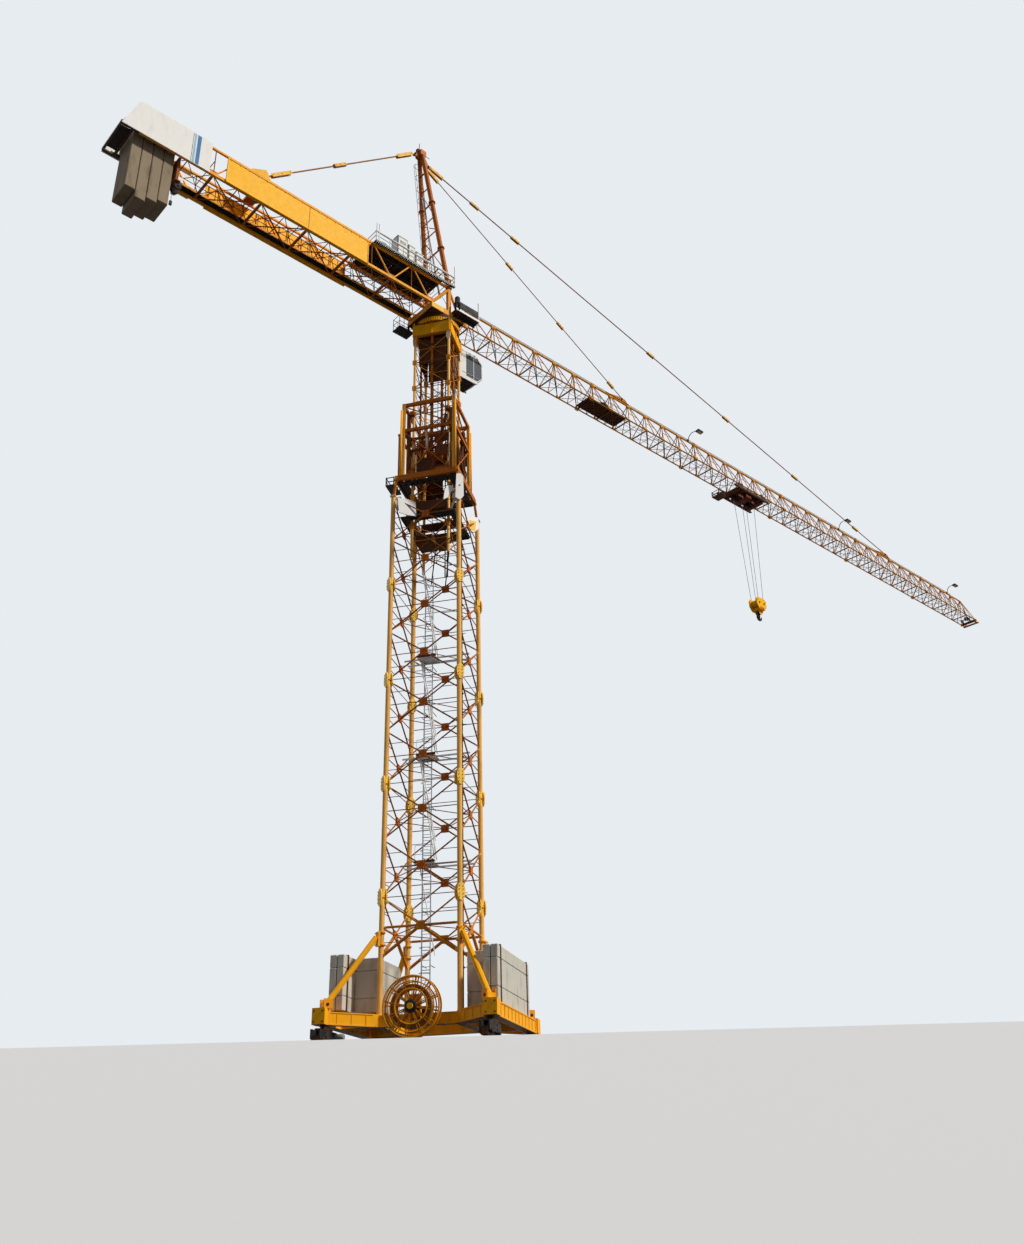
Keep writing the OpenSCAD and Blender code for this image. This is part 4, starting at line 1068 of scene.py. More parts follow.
@dataclass
class Deck(Assembly):
    """The machinery deck with its rails, cabinets and winch.

    Attributes:
        palette: the finishes.
        top: height of the deck's walking face.
        x0: rear end.
        x1: front end.
        half: half of the deck's width.
    """

    palette: Palette
    top: float = 4.492
    x0: float = -0.580
    x1: float = 0.030
    half: float = 0.140

    def floor(self) -> None:
        """Deck plate with joists, bright edge angles, toe boards and rails; plate and joists are dark as painted shade
        under the deck.
        """
        shape = Shape("machinery_deck_floor")
        z = self.top - 0.003
        # deck plate in dark steel: painted shade under the deck
        shape.boxes(((self.x0 - 0.065) / 2, 0, z), (-0.065 - self.x0, 2 * self.half, 0.006), 1)
        for side in (-1, 1):
            shape.boxes(((self.x1 - 0.065) / 2, side * 0.1325, z), (0.095, 0.015, 0.006), 1)
            shape.boxes(((self.x0 + self.x1) / 2, side * (self.half - 0.001), z + 0.003),
                        (self.x1 - self.x0, 0.003, 0.012), 3)
            for share, width in ((1.0, 0.0115), (0.55, 0.005)):
                shape.bars((self.x0, side * (self.half - 0.004), self.top + 0.074 * share),
                           (self.x1, side * (self.half - 0.004), self.top + 0.074 * share), width, 8, 2)
            posts = spread(self.x0 + 0.003, self.x1 - 0.003, 0.12)
            shape.bars(rows(posts, side * (self.half - 0.004), self.top - 0.004),
                       rows(posts, side * (self.half - 0.004), self.top + 0.076), 0.0045, 6, 0)
            # grating strips between the chord and the deck's edge
            slats = spread(self.x0 + 0.01, -0.02, 0.012)
            shape.boxes(rows(slats, side * 0.128, z - 0.005), (0.0025, 0.022, 0.006), 0)
        for x in (self.x0 + 0.003, self.x1 - 0.003):
            for share in (1.0, 0.55):
                shape.bars((x, -self.half, self.top + 0.074 * share), (x, self.half, self.top + 0.074 * share), 0.005, 8, 2)
        shape.bars((self.x1 - 0.003, -self.half + 0.003, self.top), (self.x1 - 0.003, -self.half + 0.003, self.top + 0.165),
                   0.007, 8, 2)
        shape.bars(rows(np.array([-0.574, -0.556]), -self.half + 0.003, self.top),
                   rows(np.array([-0.574, -0.556]), -self.half + 0.003, self.top + 0.14), 0.006, 8, 2)
        # joists in dark steel: painted shade under the deck
        joists = spread(self.x0 + 0.02, -0.09, 0.049)
        shape.boxes(rows(joists, 0, z - 0.008), (0.006, 0.204, 0.010), 1)
        shape.boxes(rows(-0.33, np.array([-0.07, 0.0, 0.07]), z - 0.016), (0.47, 0.008, 0.012), 1)
        self.put(shape, Body.UPPER, ("galvanised", "dark_steel", "bright_white", "old_zinc"), "galvanised", ("machinery_deck",))

    def cabinets(self) -> None:
        """Switch cabinets with doors, roofs, louvres and handles."""
        shape = Shape("control_cabinets")
        sizes = ((-0.334, -0.038, 0.078, 0.072, 0.228), (-0.262, -0.040, 0.052, 0.062, 0.206),
                 (-0.196, -0.042, 0.060, 0.052, 0.190), (-0.122, 0.060, 0.080, 0.060, 0.120))
        for x, y, length, width, height in sizes:
            z = self.top + height / 2
            shape.boxes((x, y, z), (length - 0.002, width - 0.002, height - 0.002), 0, None, 0.002)
            shape.boxes((x, y, self.top + height - 0.002), (length, width, 0.004), 1)
            for side in (-1, 1):
                face = y + side * (width / 2 - 0.0006)
                shape.boxes((x, face, z + 0.004), (length - 0.014, 0.001, height - 0.034), 1)
                shape.boxes(rows(x, face, self.top + height - spread(0.035, 0.06, 0.005)), (length - 0.03, 0.0016, 0.002), 2)
                shape.boxes((x + length * 0.3, face, z), (0.003, 0.0018, 0.018), 2)
            front = x - length / 2 + 0.0006
            shape.boxes((front, y, z + 0.004), (0.001, width - 0.014, height - 0.034), 1)
            shape.boxes(rows(front, y, self.top + spread(0.03, 0.06, 0.005)), (0.0016, width - 0.03, 0.002), 2)
        self.put(shape, Body.UPPER, ("grey_box", "white", "dark_steel"), "grey_box", ("control_cabinets",))

    def winch(self) -> None:
        """Rope layer, motor fins, gearbox and brake of the hoist winch."""
        shape = Shape("hoist_winch_details")
        x, z = -0.468, self.top + 0.058
        winding(shape, axle((x, 0, z), (0, 1, 0)), 0.044, 0.051, 0.004, 0)
        for y in (-0.073, 0.073):
            shape.lathe([(0.004, -0.004), (0.03, -0.004), (0.03, 0.004), (0.004, 0.004)], axle((x, y, z), (0, 1, 0)), 24, 1)
        fins = spread(-0.045, 0.045, 0.007)
        for y in fins:
            shape.lathe([(0.02, -0.0012), (0.029, -0.0012), (0.029, 0.0012), (0.02, 0.0012)],
                        axle((-0.543, y, self.top + 0.042), (0, 1, 0)), 24, 2)
        shape.boxes((-0.543, 0, self.top + 0.072), (0.03, 0.034, 0.016), 2, None, 0.002)
        shape.boxes((x, 0.079, z - 0.018), (0.07, 0.012, 0.06), 2, None, 0.003)
        bolts = rows(np.array([-0.565, -0.39])[:, None], np.array([-0.076, 0.076])[None], self.top + 0.016)
        shape.bars(bolts, bolts + (0, 0, 0.004), 0.008, 6, 1)
        # rope from the drum to the guide sheave at the foot of the tower top
        shape.bars((x + 0.02, 0.01, z + 0.04), (-0.075, 0.006, 4.640), 0.0035, 6, 0)
        self.put(shape, Body.UPPER, ("rope", "dark_steel", "grey_box"), "rope_steel")

    def build(self) -> None:
        """Makes every piece."""
        self.floor()
        self.cabinets()
        self.winch()


@dataclass
class TowerTop(Assembly):
    """Ladder, pole, cross members and the sheaves of the tower top.

    Attributes:
        palette: the finishes.
        foot: height of the legs' feet.
        apex: height of the apex.
        back: how far the apex stands behind the mast's axis.
    """

    palette: Palette
    foot: float = 4.490
    apex: float = 5.634
    back: float = 0.152

    def leg(self, share: np.ndarray, side: float) -> np.ndarray:
        """Points on a leg's axis.

        Args:
            share: places from the foot, 0, to the apex, 1.
            side: -1 for the near leg, 1 for the far one.

        Returns:
            N x 3 points.
        """
        share = np.atleast_1d(share)
        return rows(-self.back * share, side * (0.110 - 0.094 * share), self.foot + (self.apex - self.foot) * share)

    def build(self) -> None:
        """Makes the pieces."""
        shape = Shape("tower_top_fittings")
        share = np.array([0.12, 0.42, 0.52, 0.74])
        shape.bars(self.leg(share, -1), self.leg(share, 1), 0.008, 8, 0)
        shape.bars(self.leg(share[:-1], -1), self.leg(share[1:], 1), 0.006, 6, 0)
        # flanges with bolts half way up, and gussets at the feet
        for side in (-1, 1):
            for s in (0.28, 0.62):
                p, q = self.leg(s - 0.004, side), self.leg(s + 0.004, side)
                shape.bars(p, q, 0.046, 16, 0)
            foot = self.leg(0.02, side)[0]
            shape.plate([(-0.03, -0.02), (0.03, -0.02), (0.008, 0.05), (-0.02, 0.05)], 0.006,
                        place(tuple(foot), (-1, 0, 0), (0, 1, 0)), 0)
        # white pole between the legs, ladder with hoops behind them
        shape.bars((0.018, 0, 4.49), (-0.132, 0, 5.26), 0.013, 12, 1)
        shape.bars((0.018, 0, 4.70), (-0.05, 0.09, 4.72), 0.006, 8, 1)
        t = spread(0.0, 1.0, 0.028)
        low, high = np.array([-0.046, 0, 4.492]), np.array([-0.170, 0, 5.624])
        line = low + (high - low) * t[:, None]
        half = 0.020 - 0.008 * t
        shape.bars(line + rows(0, -half, 0), line + rows(0, half, 0), 0.003, 6, 2)
        for s in spread(0.12, 0.9, 0.09):
            c = low + (high - low) * s
            w = 0.020 - 0.008 * s + 0.006
            shape.tube([(c[0], c[1] - w, c[2]), (c[0] - 0.03, c[1] - w, c[2]), (c[0] - 0.046, c[1] - w * 0.5, c[2]),
                        (c[0] - 0.046, c[1] + w * 0.5, c[2]), (c[0] - 0.03, c[1] + w, c[2]), (c[0], c[1] + w, c[2])],
                       0.003, 5, 2)
        for dy in (-0.012, 0.012):
            shape.bars(low + (high - low) * 0.12 + (-0.046, dy, 0), low + (high - low) * 0.9 + (-0.046, dy * 0.6, 0), 0.0025, 5, 2)
        # guide sheaves for the hoist rope, pins of the ties, beacon
        sheave(shape, axle((-0.052, 0.0, 4.640), (0, 1, 0)), 0.030, 0.012, 3)
        shape.bars((-0.052, -0.075, 4.640), (-0.052, 0.075, 4.640), 0.010, 8, 0)
        sheave(shape, axle((-0.17, 0.0, 5.66), (0, 1, 0)), 0.022, 0.010, 3)
        for x, z in ((-0.205, 5.612), (-0.094, 5.566), (-0.106, 5.540)):
            shape.bars((x, -0.016, z), (x, 0.016, z), 0.012, 12, 3)
        shape.lathe([(0.0005, 0.0), (0.006, 0.0), (0.006, 0.010), (0.003, 0.014), (0.0005, 0.014)],
                    place((-0.12, 0.018, 5.657)), 16, 4)
        # obstruction light frame and rail round the head
        for side in (-1, 1):
            shape.bars((-0.18, side * 0.026, 5.62), (-0.10, side * 0.026, 5.62), 0.004, 6, 2)
        self.put(shape, Body.UPPER, ("deep_orange", "bright_white", "dark_steel", "brown", "red_lamp"), "red_orange_frame")
        rope = Shape("hoist_rope_along_the_jib")
        rope.bars((-0.04, 0.0, 4.612), (0.20, 0.012, 4.330), 0.0032, 6)
        rope.bars(rows(0.20, np.array([-0.012, 0.012]), 4.330), rows(6.70, np.array([-0.012, 0.012]), 4.330), 0.0028, 6)
        self.put(rope, Body.UPPER, ("rope",), "rope_steel")


@dataclass
class Cabin(Assembly):
    """The operator's cabin with its panes, frame, seat and hanger.

    Attributes:
        palette: the finishes.
        x0: rear wall.
        length: length along the jib.
        y0: side wall nearest the mast's axis.
        width: width across.
        z0: underside.
        height: height.
    """

    palette: Palette
    x0: float = 0.200
    length: float = 0.200
    y0: float = 0.036
    width: float = 0.122
    z0: float = 3.996
    height: float = 0.226

    def outline(self, inset: float) -> np.ndarray:
        """Side profile as points of X and Z.

        Args:
            inset: how far the profile is pulled in.

        Returns:
            Six points, counter-clockwise seen from -Y.
        """
        x0, z0, n, h, t = self.x0, self.z0, self.length, self.height, inset
        return np.array([[x0 + t, z0 + t], [x0 + n - 0.062, z0 + t], [x0 + n - t, z0 + 0.066], [x0 + n - t, z0 + h - 0.052],
                         [x0 + n - 0.046, z0 + h - t], [x0 + t, z0 + h - t]])

    def build(self) -> None:
        """Makes the pieces."""
        shell = Shape("cabin_body")
        o = self.outline(0.004)
        y_near, y_far = self.y0 + 0.004, self.y0 + self.width - 0.004
        # frame bars along every edge of the profile and across
        for y in (y_near, y_far):
            p = rows(o[:, 0], y, o[:, 1])
            shell.bars(p, np.roll(p, -1, axis=0), 0.009, 4, 0, None, math.pi / 4)
        shell.bars(rows(o[:, 0], y_near, o[:, 1]), rows(o[:, 0], y_far, o[:, 1]), 0.009, 4, 0, None, math.pi / 4)
        panel = 0.066
        mid = (y_near + y_far) / 2
        for y in (y_near, y_far):
            shell.boxes((self.x0 + panel / 2, y, self.z0 + self.height / 2), (panel, 0.004, self.height - 0.01), 0, None, 0.001)
            shell.boxes((self.x0 + self.length * 0.55, y, self.z0 + 0.016), (self.length * 0.5, 0.0045, 0.024), 0)
            shell.boxes((self.x0 + self.length * 0.55, y, self.z0 + self.height - 0.012), (self.length * 0.42, 0.0045, 0.016), 0)
            shell.bars((self.x0 + 0.128, y, self.z0 + 0.01), (self.x0 + 0.128, y, self.z0 + self.height - 0.006), 0.006, 4, 0,
                       None, math.pi / 4)
        shell.boxes((self.x0 + 0.004, mid, self.z0 + self.height / 2), (0.004, self.width - 0.012, self.height - 0.01), 0)
        shell.boxes((self.x0 + 0.078, mid, self.z0 + self.height - 0.003), (0.15, self.width - 0.004, 0.006), 0, None, 0.001)
        # roof unit, hanger and its arm, door edges and handles
        shell.boxes((self.x0 + 0.10, mid, self.z0 + self.height + 0.012), (0.06, 0.06, 0.024), 1, None, 0.003)
        shell.boxes((self.x0 + 0.03, mid, self.z0 + self.height + 0.02), (0.05, 0.06, 0.044), 2, None, 0.002)
        shell.boxes(((self.x0 + 0.115) / 2 + 0.018, mid, self.z0 + self.height + 0.034),
                    (self.x0 - 0.115 + 0.036, 0.020, 0.014), 2, None, 0.001)
        shell.boxes((self.x0 + 0.033, y_far + 0.0025, self.z0 + 0.105), (0.05, 0.0012, 0.18), 1)
        shell.boxes((self.x0 + 0.050, y_far + 0.004, self.z0 + 0.10), (0.004, 0.003, 0.016), 3)
        for y in (y_near - 0.003, y_far + 0.003):
            shell.bars((self.x0 + 0.03, y, self.z0 + 0.05), (self.x0 + 0.17, y, self.z0 + 0.05), 0.003, 6, 0)
        # dark floor with foot grille, seat and consoles inside
        shell.boxes((self.x0 + 0.07, mid, self.z0 + 0.003), (0.132, self.width - 0.012, 0.006), 3)
        shell.boxes(rows(self.x0 + spread(0.01, 0.13, 0.012), mid, self.z0 - 0.001), (0.003, self.width - 0.02, 0.003), 3)
        shell.boxes((self.x0 + 0.075, mid, self.z0 + 0.055), (0.042, 0.042, 0.014), 3, None, 0.003)
        shell.boxes((self.x0 + 0.054, mid, self.z0 + 0.098), (0.012, 0.042, 0.074), 3, None, 0.003)
        shell.boxes((self.x0 + 0.056, mid, self.z0 + 0.143), (0.010, 0.024, 0.018), 3, None, 0.003)
        shell.bars((self.x0 + 0.07, mid, self.z0 + 0.006), (self.x0 + 0.07, mid, self.z0 + 0.05), 0.016, 10, 3)
        for dy in (-0.032, 0.032):
            shell.boxes((self.x0 + 0.085, mid + dy, self.z0 + 0.05), (0.05, 0.014, 0.05), 1, None, 0.002)
            shell.bars((self.x0 + 0.10, mid + dy, self.z0 + 0.07), (self.x0 + 0.104, mid + dy, self.z0 + 0.095), 0.004, 8, 3)
        # wipers on the front pane
        front = self.x0 + self.length - 0.003
        shell.bars((front + 0.002, mid - 0.02, self.z0 + 0.07), (front + 0.002, mid + 0.018, self.z0 + 0.13), 0.0025, 6, 3)
        self.put(shell, Body.UPPER, ("cabin_white", "white", "grey_box", "dark_steel"), "white_cabin", ("operator_cabin",))
        panes = Shape("cabin_panes")
        inner = self.outline(0.007)
        for y in (y_near, y_far):
            window = np.array([[self.x0 + panel, self.z0 + 0.028], [self.x0 + self.length - 0.048, self.z0 + 0.028], inner[2],
                               inner[3], [inner[4, 0] - 0.004, self.z0 + self.height - 0.02],
                               [self.x0 + panel, self.z0 + self.height - 0.02]])
            panes.plate([(x, -z) for x, z in window[::-1]], 0.002, place((0, y, 0), (1, 0, 0), (0, 1, 0)))
        for a, b in ((1, 2), (2, 3), (3, 4)):
            p, q = o[a], o[b]
            mid_x, mid_z = (p + q) / 2
            along = np.array([q[0] - p[0], 0, q[1] - p[1]])
            panes.boxes((0, 0, 0), (np.linalg.norm(along) - 0.008, self.width - 0.014, 0.002), 0,
                        place((mid_x, mid, mid_z), tuple(along), tuple(np.cross(along, (0, 1, 0)))))
        self.put(panes, Body.UPPER, ("glass",), "white_cabin")


@dataclass
class RootPlatforms(Assembly):
    """Walkway beside the jib's root and the small platform behind the slewing ring.

    Attributes:
        palette: the finishes.
    """

    palette: Palette

    def build(self) -> None:
        """Makes the pieces."""
        shape = Shape("root_platforms")
        z = 4.290
        shape.boxes((0.112, -0.142, 4.287), (0.186, 0.044, 0.006), 1)
        shape.boxes((0.112, -0.1635, z + 0.004), (0.186, 0.003, 0.016), 0)
        handrail(shape, (0.021, 0.203), -0.161, z, 0.076, 1, 0.06)
        shape.boxes((0.112, -0.1615, z + 0.046), (0.176, 0.0015, 0.05), 1)
        shape.bars((0.202, -0.160, 4.262), (0.202, -0.160, 4.442), 0.008, 8, 0)
        shape.boxes(rows(0.112, -0.124, z - 0.016), (0.17, 0.006, 0.024), 1)
        shape.bars(rows(np.array([0.05, 0.10]), -0.162, z - 0.004), rows(np.array([0.05, 0.10]), -0.118, z - 0.036), 0.006, 6, 1)
        # far platform with its basket rail
        y0, y1, f = 0.120, 0.188, 4.221
        shape.boxes((-0.150, 0.154, 4.218), (0.110, 0.076, 0.006), 1)
        shape.boxes((-0.132, 0.123, 4.246), (0.014, 0.006, 0.062), 1)
        for y in (y0 + 0.003, y1):
            handrail(shape, (-0.202, -0.098), y, f, 0.088, 1, 0.035, 0.0035)
        for x in (-0.202, -0.098):
            for share in (0.5, 1.0):
                shape.bars((x, y0 + 0.003, f + 0.088 * share), (x, y1, f + 0.088 * share), 0.0035, 6, 1)
        shape.boxes(rows(spread(-0.2, -0.1, 0.01), 0.154, 4.2145), (0.002, 0.074, 0.003), 1)
        self.put(shape, Body.UPPER, ("bright_white", "dark_steel"), "galvanised", ("cabin_walkway",))


# Jib, trolley, ropes and hook


@dataclass
class Jib(Assembly):
    """Joints, finer bracing and lines of the jib.

    Attributes:
        palette: the finishes.
        x0: first node.
        pitch: length of a panel.
        panels: number of panels.
        low: height of the bottom chords.
        high: height of the top chord.
        half: half of the width between the bottom chords.
    """

    palette: Palette
    x0: float = 0.1854
    pitch: float = 0.1873
    panels: int = 35
    low: float = 4.298
    high: float = 4.508
    half: float = 0.074

    def build(self) -> None:
        """Makes the pieces."""
        nodes = self.x0 + self.pitch * np.arange(self.panels + 1)
        mids = nodes[:-1] + self.pitch / 2
        fine = Shape("jib_fine_bracing")
        # second diagonals of the bottom face, dark brown as painted shade, short struts of the sides, walkway lines
        fine.bars(rows(nodes[:-1] + 0.014, self.half - 0.003, self.low), rows(nodes[1:] - 0.004, -self.half + 0.003, self.low),
                  0.0035, 5)
        for side in (-1, 1):
            fine.bars(rows(mids, side * self.half, self.low), rows(mids, side * 0.004, self.high), 0.0062, 6, 1)
            fine.bars(rows(nodes[:-1] + self.pitch * 0.25, side * self.half * 0.5, (self.low + self.high) / 2),
                      rows(nodes[:-1] + self.pitch * 0.75, side * self.half * 0.5, (self.low + self.high) / 2), 0.0042, 6, 1)
        fine.bars(rows(mids, -self.half, self.low), rows(mids, self.half, self.low), 0.004, 5)
        self.put(fine, Body.UPPER, ("shaded_brace_brown", "side_orange"), "orange_frame")
        joints = Shape("jib_joints")
        splits = self.x0 + self.pitch * np.array([6, 12, 18, 24, 30])
        for side in (-1, 1):
            y = side * self.half
            for dx in (-0.009, 0.009):
                joints.boxes(rows(splits + dx, y, self.low), (0.010, 0.021, 0.021), 0, None, 0.0015)
            joints.bars(rows(splits, y - 0.015, self.low), rows(splits, y + 0.015, self.low), 0.005, 8, 1)
            joints.boxes(rows(nodes[1:-1], y, self.low + 0.010), (0.030, 0.003, 0.014), 0)
            joints.boxes(rows(mids, side * 0.006, self.high - 0.012), (0.030, 0.003, 0.016), 0)
        for dx in (-0.008, 0.008):
            joints.boxes(rows(splits + self.pitch / 2 + dx, 0, self.high), (0.009, 0.023, 0.023), 0, None, 0.0015)
        joints.boxes((self.x0 + 0.05, 0, self.high - 0.004), (0.016, 0.02, 0.05), 0)
        # lugs and pins of the ties
        for x in (1.73, 5.29):
            joints.bars((x - 0.02, -0.012, 4.537), (x - 0.02, 0.012, 4.537), 0.014, 12, 1)
            joints.boxes(rows(x - 0.07, 0, 4.516), (0.24, 0.018, 0.006), 0)
        self.put(joints, Body.UPPER, ("bright_orange", "dark_steel"), "orange_frame")
        lines = Shape("jib_lines")
        # trolley rope, lifeline with its posts, cable to the lamps
        for y in (-0.036, 0.036):
            lines.bars((1.43, y, self.low + 0.006), (6.72, y, self.low + 0.006), 0.0024, 5, 0)
        lines.bars(rows(nodes[1:-1], 0.004, self.high + 0.004), rows(nodes[1:-1], 0.004, self.high + 0.012), 0.003, 5, 1)
        lines.bars((nodes[1], 0.004, self.high + 0.012), (nodes[-2], 0.004, self.high + 0.012), 0.0022, 5, 0)
        lines.bars((0.3, -0.010, self.high + 0.006), (6.45, -0.010, self.high + 0.006), 0.0035, 6, 2)
        self.put(lines, Body.UPPER, ("rope", "dark_steel", "rubber"), "rope_steel")
        ends = Shape("jib_end_details")
        tip = nodes[-1]
        for y in (-0.012, 0.012):
            sheave(ends, axle((tip - 0.03, y, 4.332), (0, 1, 0)), 0.020, 0.008, 0)
        ends.bars((tip - 0.03, -0.06, 4.332), (tip - 0.03, 0.06, 4.332), 0.006, 8, 0)
        for y in (-0.036, 0.036):
            sheave(ends, axle((tip - 0.05, y, 4.302), (0, 1, 0)), 0.016, 0.006, 0)
        ends.boxes(rows(tip + 0.044, np.array([-0.05, 0.05]), 4.292), (0.014, 0.02, 0.02), 1, None, 0.002)
        self.put(ends, Body.UPPER, ("dark_steel", "bright_orange"), "dark_steel")
        # trolley winch: drum rope, motor, walkway boards under it
        gear = Shape("trolley_winch_details")
        winding(gear, axle((1.48, 0, 4.350), (0, 1, 0)), 0.030, 0.023, 0.003, 0)
        for y in (-0.035, 0.035):
            gear.lathe([(0.003, -0.002), (0.024, -0.002), (0.024, 0.002), (0.003, 0.002)], axle((1.48, y, 4.350), (0, 1, 0)),
                       24, 1)
        for y in spread(-0.02, 0.02, 0.006):
            gear.boxes((1.384, y, 4.362), (0.05, 0.0016, 0.006), 1)
        gear.boxes((1.56, 0.02, 4.330), (0.04, 0.05, 0.034), 1, None, 0.002)
        boards = spread(1.30, 1.66, 0.02)
        gear.boxes(rows(boards, 0, 4.3015), (0.010, 0.11, 0.003), 2)
        for y in (-0.055, 0.055):
            handrail(gear, (1.30, 1.66), y, 4.312, 0.06, 1, 0.12, 0.003)
        self.put(gear, Body.UPPER, ("rope", "dark_steel", "brown"), "brown_steel")


@dataclass
class Lamps(Assembly):
    """Bent arms and floodlight housings on the jib, in place of the plain solids.

    Attributes:
        palette: the finishes.
    """

    palette: Palette

    def build(self) -> None:
        """Makes the pieces."""
        shape = Shape("floodlights")
        for x, reach in ((2.450, 0.060), (4.498, 0.060), (6.380, 0.070)):
            path = [(x, -0.010, 4.510), (x + 0.004, -0.020, 4.545), (x + 0.018, -0.036, 4.574), (x + reach * 0.7, -0.054, 4.592),
                    (x + reach + 0.006, -0.062, 4.597)]
            shape.tube(path, 0.006, 8, 0)
            at = place((x + reach + 0.022, -0.064, 4.600), (1, -0.1, -0.12), (0.12, 0.0, 1))
            shape.boxes((0, 0, 0), (0.056, 0.036, 0.014), 0, at, 0.003)
            shape.boxes((0.002, 0, -0.0075), (0.046, 0.028, 0.002), 1, at)
            shape.boxes(rows(spread(-0.02, 0.02, 0.008), 0, 0.0085), (0.002, 0.028, 0.004), 0, at)
            shape.boxes((x, -0.004, 4.512), (0.016, 0.016, 0.012), 0)
        self.put(shape, Body.UPPER, ("dark_steel", "lens"), "dark_steel", ("jib_lamps",))


@dataclass
class Ties(Assembly):
    """Pins, bolts and straps along the three ties.

    Attributes:
        palette: the finishes.
    """

    palette: Palette

    def build(self) -> None:
        """Makes the pieces."""
        shape = Shape("tie_pins_and_straps")
        lines = (((-0.086, 0, 5.576), (5.290, 0, 4.542), (0.012, 0.075, 0.145, 0.407, 0.575, 0.745, 0.91), 0.028, 0.0085),
                 ((-0.100, 0, 5.544), (1.730, 0, 4.542), (0.03, 0.4, 0.66, 0.93), 0.022, 0.0075),
                 ((-1.250, 0, 4.639), (-0.218, 0, 5.604), (0.085, 0.46, 0.93), 0.042, 0.011))
        for start, end, shares, reach, width in lines:
            p, q = np.array(start), np.array(end)
            along = (q - p) / np.linalg.norm(q - p)
            for share in shares:
                # the clevises next to the tower and on the counter-jib are the long ones
                grow = 1.7 if share < 0.05 or (q[0] < 0 and share != 0.46) else 1.0
                long = reach * grow
                centre = p + (q - p) * share
                for shift in (-long, 0.0, long):
                    at = centre + along * shift
                    shape.bars(at - (0, width, 0), at + (0, width, 0), 0.0075, 8, 0)
                frame_at = place(tuple(centre), tuple(along), (0, 0, 1))
                # pale straps on both sides, a painted highlight
                for dy in (-width + 0.0015, width - 0.0015):
                    shape.boxes((0, dy, 0), (long * 2 + 0.024, 0.003, 0.010 + 0.008 * grow), 1, frame_at, 0.0006)
        self.put(shape, Body.UPPER, ("dark_steel", "strap_highlight_paint"), "pale_rod")


@dataclass
class Trolley(Assembly):
    """Wheels, sheaves and inspection cage of the trolley.

    Attributes:
        palette: the finishes.
        x: place along the jib.
        rail: underside of the bottom chords.
    """

    palette: Palette
    x: float = 3.100
    rail: float = 4.2915

    def build(self) -> None:
        """Makes the pieces."""
        shape = Shape("trolley_fittings")
        for s in (-1, 1):
            for side in (-1, 1):
                hub = (self.x + s * 0.150, side * 0.074, self.rail - 0.016)
                shape.lathe([(0.002, -0.009), (0.0152, -0.009), (0.0152, -0.007), (0.0142, -0.0065), (0.0142, 0.0065),
                             (0.0152, 0.007), (0.0152, 0.009), (0.002, 0.009)], axle(hub, (0, 1, 0)), 28, 0)
                shape.bars((hub[0], hub[1] + side * 0.012, hub[2]), (hub[0], hub[1] + side * 0.022, hub[2]), 0.010, 6, 1)
                # side guide rollers
                shape.bars((hub[0] - s * 0.03, side * 0.089, self.rail - 0.006), (hub[0] - s * 0.03, side * 0.089, self.rail + 0.006),
                           0.010, 12, 0)
                sheave(shape, axle((self.x + s * 0.084, side * 0.016, 4.2315), (0, 1, 0)), 0.0245, 0.011, 0)
            shape.bars((self.x + s * 0.084, -0.034, 4.2315), (self.x + s * 0.084, 0.034, 4.2315), 0.008, 10, 1)
        shape.bars(rows(self.x + np.array([-0.15, 0.05]), -0.08, 4.256), rows(self.x + np.array([-0.05, 0.15]), 0.08, 4.256),
                   0.006, 6, 1)
        shape.bars(rows(self.x + np.array([-0.15, 0.05]), 0.08, 4.256), rows(self.x + np.array([-0.05, 0.15]), -0.08, 4.256),
                   0.006, 6, 1)
        # deck sheet, sheave cheeks and the drum's guard
        shape.boxes((self.x, 0, 4.2685), (0.250, 0.130, 0.003), 1)
        shape.boxes(rows(self.x + np.array([-0.084, 0.084]), np.array([-0.036, 0.036])[:, None], 4.238), (0.062, 0.003, 0.046), 2)
        shape.boxes((self.x, 0.0, 4.2440), (0.070, 0.110, 0.032), 2, None, 0.003)
        shape.boxes(rows(self.x + np.array([-0.150, 0.150]), 0, 4.250), (0.040, 0.130, 0.020), 1)
        # cage mesh, rope clamp and buffers
        cage = self.x - 0.244
        shape.boxes(rows(cage + spread(-0.034, 0.034, 0.0085), 0.060, 4.1975), (0.0014, 0.068, 0.002), 1)
        for y in (0.027, 0.093):
            shape.bars(rows(cage + spread(-0.034, 0.034, 0.012), y, 4.2), rows(cage + spread(-0.034, 0.034, 0.012), y, 4.24),
                       0.0016, 5, 1)
        for s in (-1, 1):
            for side in (-1, 1):
                shape.bars((self.x + s * 0.210, side * 0.088, 4.256), (self.x + s * 0.222, side * 0.088, 4.256), 0.012, 12, 0)
        bolts = rows(self.x + np.array([-0.19, -0.12, -0.06, 0.06, 0.12, 0.19]), -0.0945, 4.256)
        shape.bars(bolts, bolts - (0, 0.002, 0), 0.006, 6, 0)
        self.put(shape, Body.TROLLEY, ("dark_steel", "brown", "red_brown"), "brown_steel")


